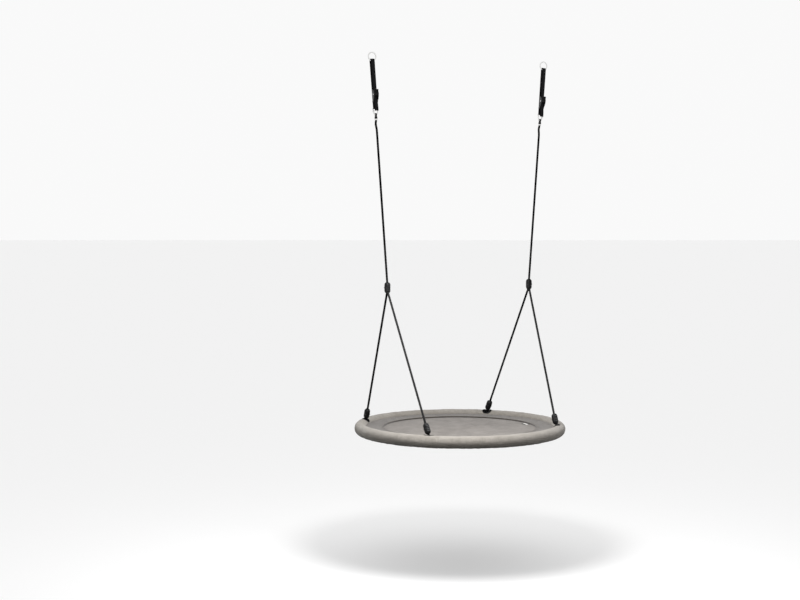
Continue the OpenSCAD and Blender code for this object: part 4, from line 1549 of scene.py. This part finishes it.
def make_zip():
    """The zip under the cover: two tapes, its teeth and its slider."""
    zip_r = SEAM_R + 0.022
    start, sweep = math.radians(5), math.radians(350)
    slope = (SEAM_MID_Z - UNDER_SEAM - RIM_Z + UNDER_BAND_DROP + COVER_T) / (UNDER_BAND_R - SEAM_R)

    def under(r):
        return SEAM_MID_Z - UNDER_SEAM - slope * (r - SEAM_R) - 0.0007

    meshes = []
    for inner, outer in ((-0.0068, -0.0012), (0.0012, 0.0068)):
        section = [(inner, 0), (outer, 0), (outer, -0.0007), (inner, -0.0007)]
        section = [(zip_r + a, under(zip_r + a) + b) for a, b in section]
        rows = [[(*polar(r, phi), z) for r, z in section] for phi in start + np.linspace(0, sweep, 481)]
        meshes.append(grid("tape", rows, wrap_v=True, caps=True, angle=40))
    count = int(zip_r * sweep / 0.003)
    for k in range(count):
        phi = start + sweep * (k + 0.5) / count
        offset = 0.0005 if k % 2 else -0.0005
        corners = [(-0.0016, -0.0008), (0.0016, -0.0008), (0.0016, 0.0008), (-0.0016, 0.0008)]
        tooth = prism("tooth", corners, 0.0013, "Z")
        tooth.transform(turn(phi, "Z") @ shift(zip_r + offset, 0, under(zip_r) - 0.0008))
        meshes.append(tooth)
    body = rounded([(-0.0042, -0.006), (0.0042, -0.006), (0.0036, 0.006), (-0.0036, 0.006)])
    tab = rounded([(-0.0022, 0.0), (0.0022, 0.0), (0.0028, 0.017), (-0.0028, 0.017)])
    tab = prism("tab", tab, 0.0012, "Z", bevel=0.0003)
    tab.transform(shift(0, 0.002, -0.0026))
    slider = joined([prism("slider", body, 0.0032, "Z", bevel=0.0006), tab])
    slider.transform(turn(math.radians(8), "Z") @ shift(zip_r, 0, under(zip_r) - 0.0014))
    mesh = joined(meshes + [slider])
    smooth(mesh, 35)
    zip_black = plastic("zip_black", (0.016, 0.016, 0.017))
    piece("zip_under_cover", mesh, zip_black, "seat", "zip_plastic", "cover_zip")


def make_cross_seams():
    """The stitched seams across the rim's cover."""
    threads = []
    low, high = UNDER_CREASE - math.tau + 0.12, CREASE - 0.12
    count = 40
    for seam in CROSS_SEAMS:
        for offset in (-0.0042, 0.0042):
            phi = seam + offset / RING_R
            for k in range(count):
                theta = low + (high - low) * (k + 0.5) / count
                r = rim_radius(phi, theta % math.tau) - seam_groove(phi) + 0.0001
                p, q = rim_point(phi, theta, r), rim_point(phi, theta + 0.05, r)
                threads.append(stitch(p, np.subtract(q, p), 0.0030, 0.00035))
    piece("rim_seam_stitches", joined(threads), taupe_thread, "seat", "cover_fabric")


make_rim_cover()
make_trims()
make_bands()
make_binding()
make_panel()
make_label()
make_zip()
make_cross_seams()

# ---------- the foam, and the inner parts kept from the frame ----------


def make_foam():
    """Four lengths of foam round the tube, between the openings, pressed in by the cover."""
    gap = math.radians(3.4)
    opening = math.atan2(LEG_OUT.y, LEG_OUT.x)
    spans = {"front": (math.pi + opening, math.tau - opening), "back": (opening, math.pi - opening),
             "left": (math.pi - opening, math.pi + opening), "right": (-opening, opening)}
    outer, inner = RIM_R - 0.0052, TUBE_R + 0.0003
    material = foam_material("grey_foam")
    for name, (start, end) in spans.items():
        steps = 90
        rows = []
        for i, phi in enumerate(np.linspace(start + gap, end - gap, steps + 1)):
            blunt = 0.0012 * (i in (0, steps))
            profile = [(outer - blunt, t) for t in np.linspace(0, math.tau, 37)]
            profile += [(inner, t) for t in np.linspace(math.tau, 0, 37)]
            rows.append([rim_point(phi, t, r) for r, t in profile])
        mesh = grid(f"foam_length_{name}", rows, wrap_v=True)
        close_foam_ends(mesh, steps, len(rows[0]))
        smooth(mesh, 50)
        piece(f"foam_length_{name}", mesh, material, "seat", "foam", f"foam_{name}")


def close_foam_ends(mesh, steps, around):
    """Closes a foam tube's two ring-shaped ends."""
    with editing(mesh) as bm:
        bm.verts.ensure_lookup_table()
        for base in (0, steps * around):
            for k in range(around // 2 - 1):
                quad = [base + k, base + k + 1, base + around - 2 - k, base + around - 1 - k]
                bm.faces.new([bm.verts[q] for q in quad])
        bmesh.ops.remove_doubles(bm, verts=bm.verts, dist=1e-7)
        bmesh.ops.recalc_face_normals(bm, faces=bm.faces)


make_foam()


def finish_nodes():
    galvanised = metal("rim_steel", (0.52, 0.53, 0.54), 0.42, wear=0.25)
    screw = metal("sleeve_screw_steel", (0.6, 0.6, 0.6), 0.35)
    looks = {"rim_tube": galvanised, "tube_sleeve": galvanised, "sleeve_screws": screw,
             "rope_splice": rope_black}
    for node, obj in frame["nodes"].items():
        for start, material in looks.items():
            if node.startswith(start):
                if start == "rope_splice":
                    planar_uv(obj.data)
                obj.data.materials.clear()
                obj.data.materials.append(material)


finish_nodes()
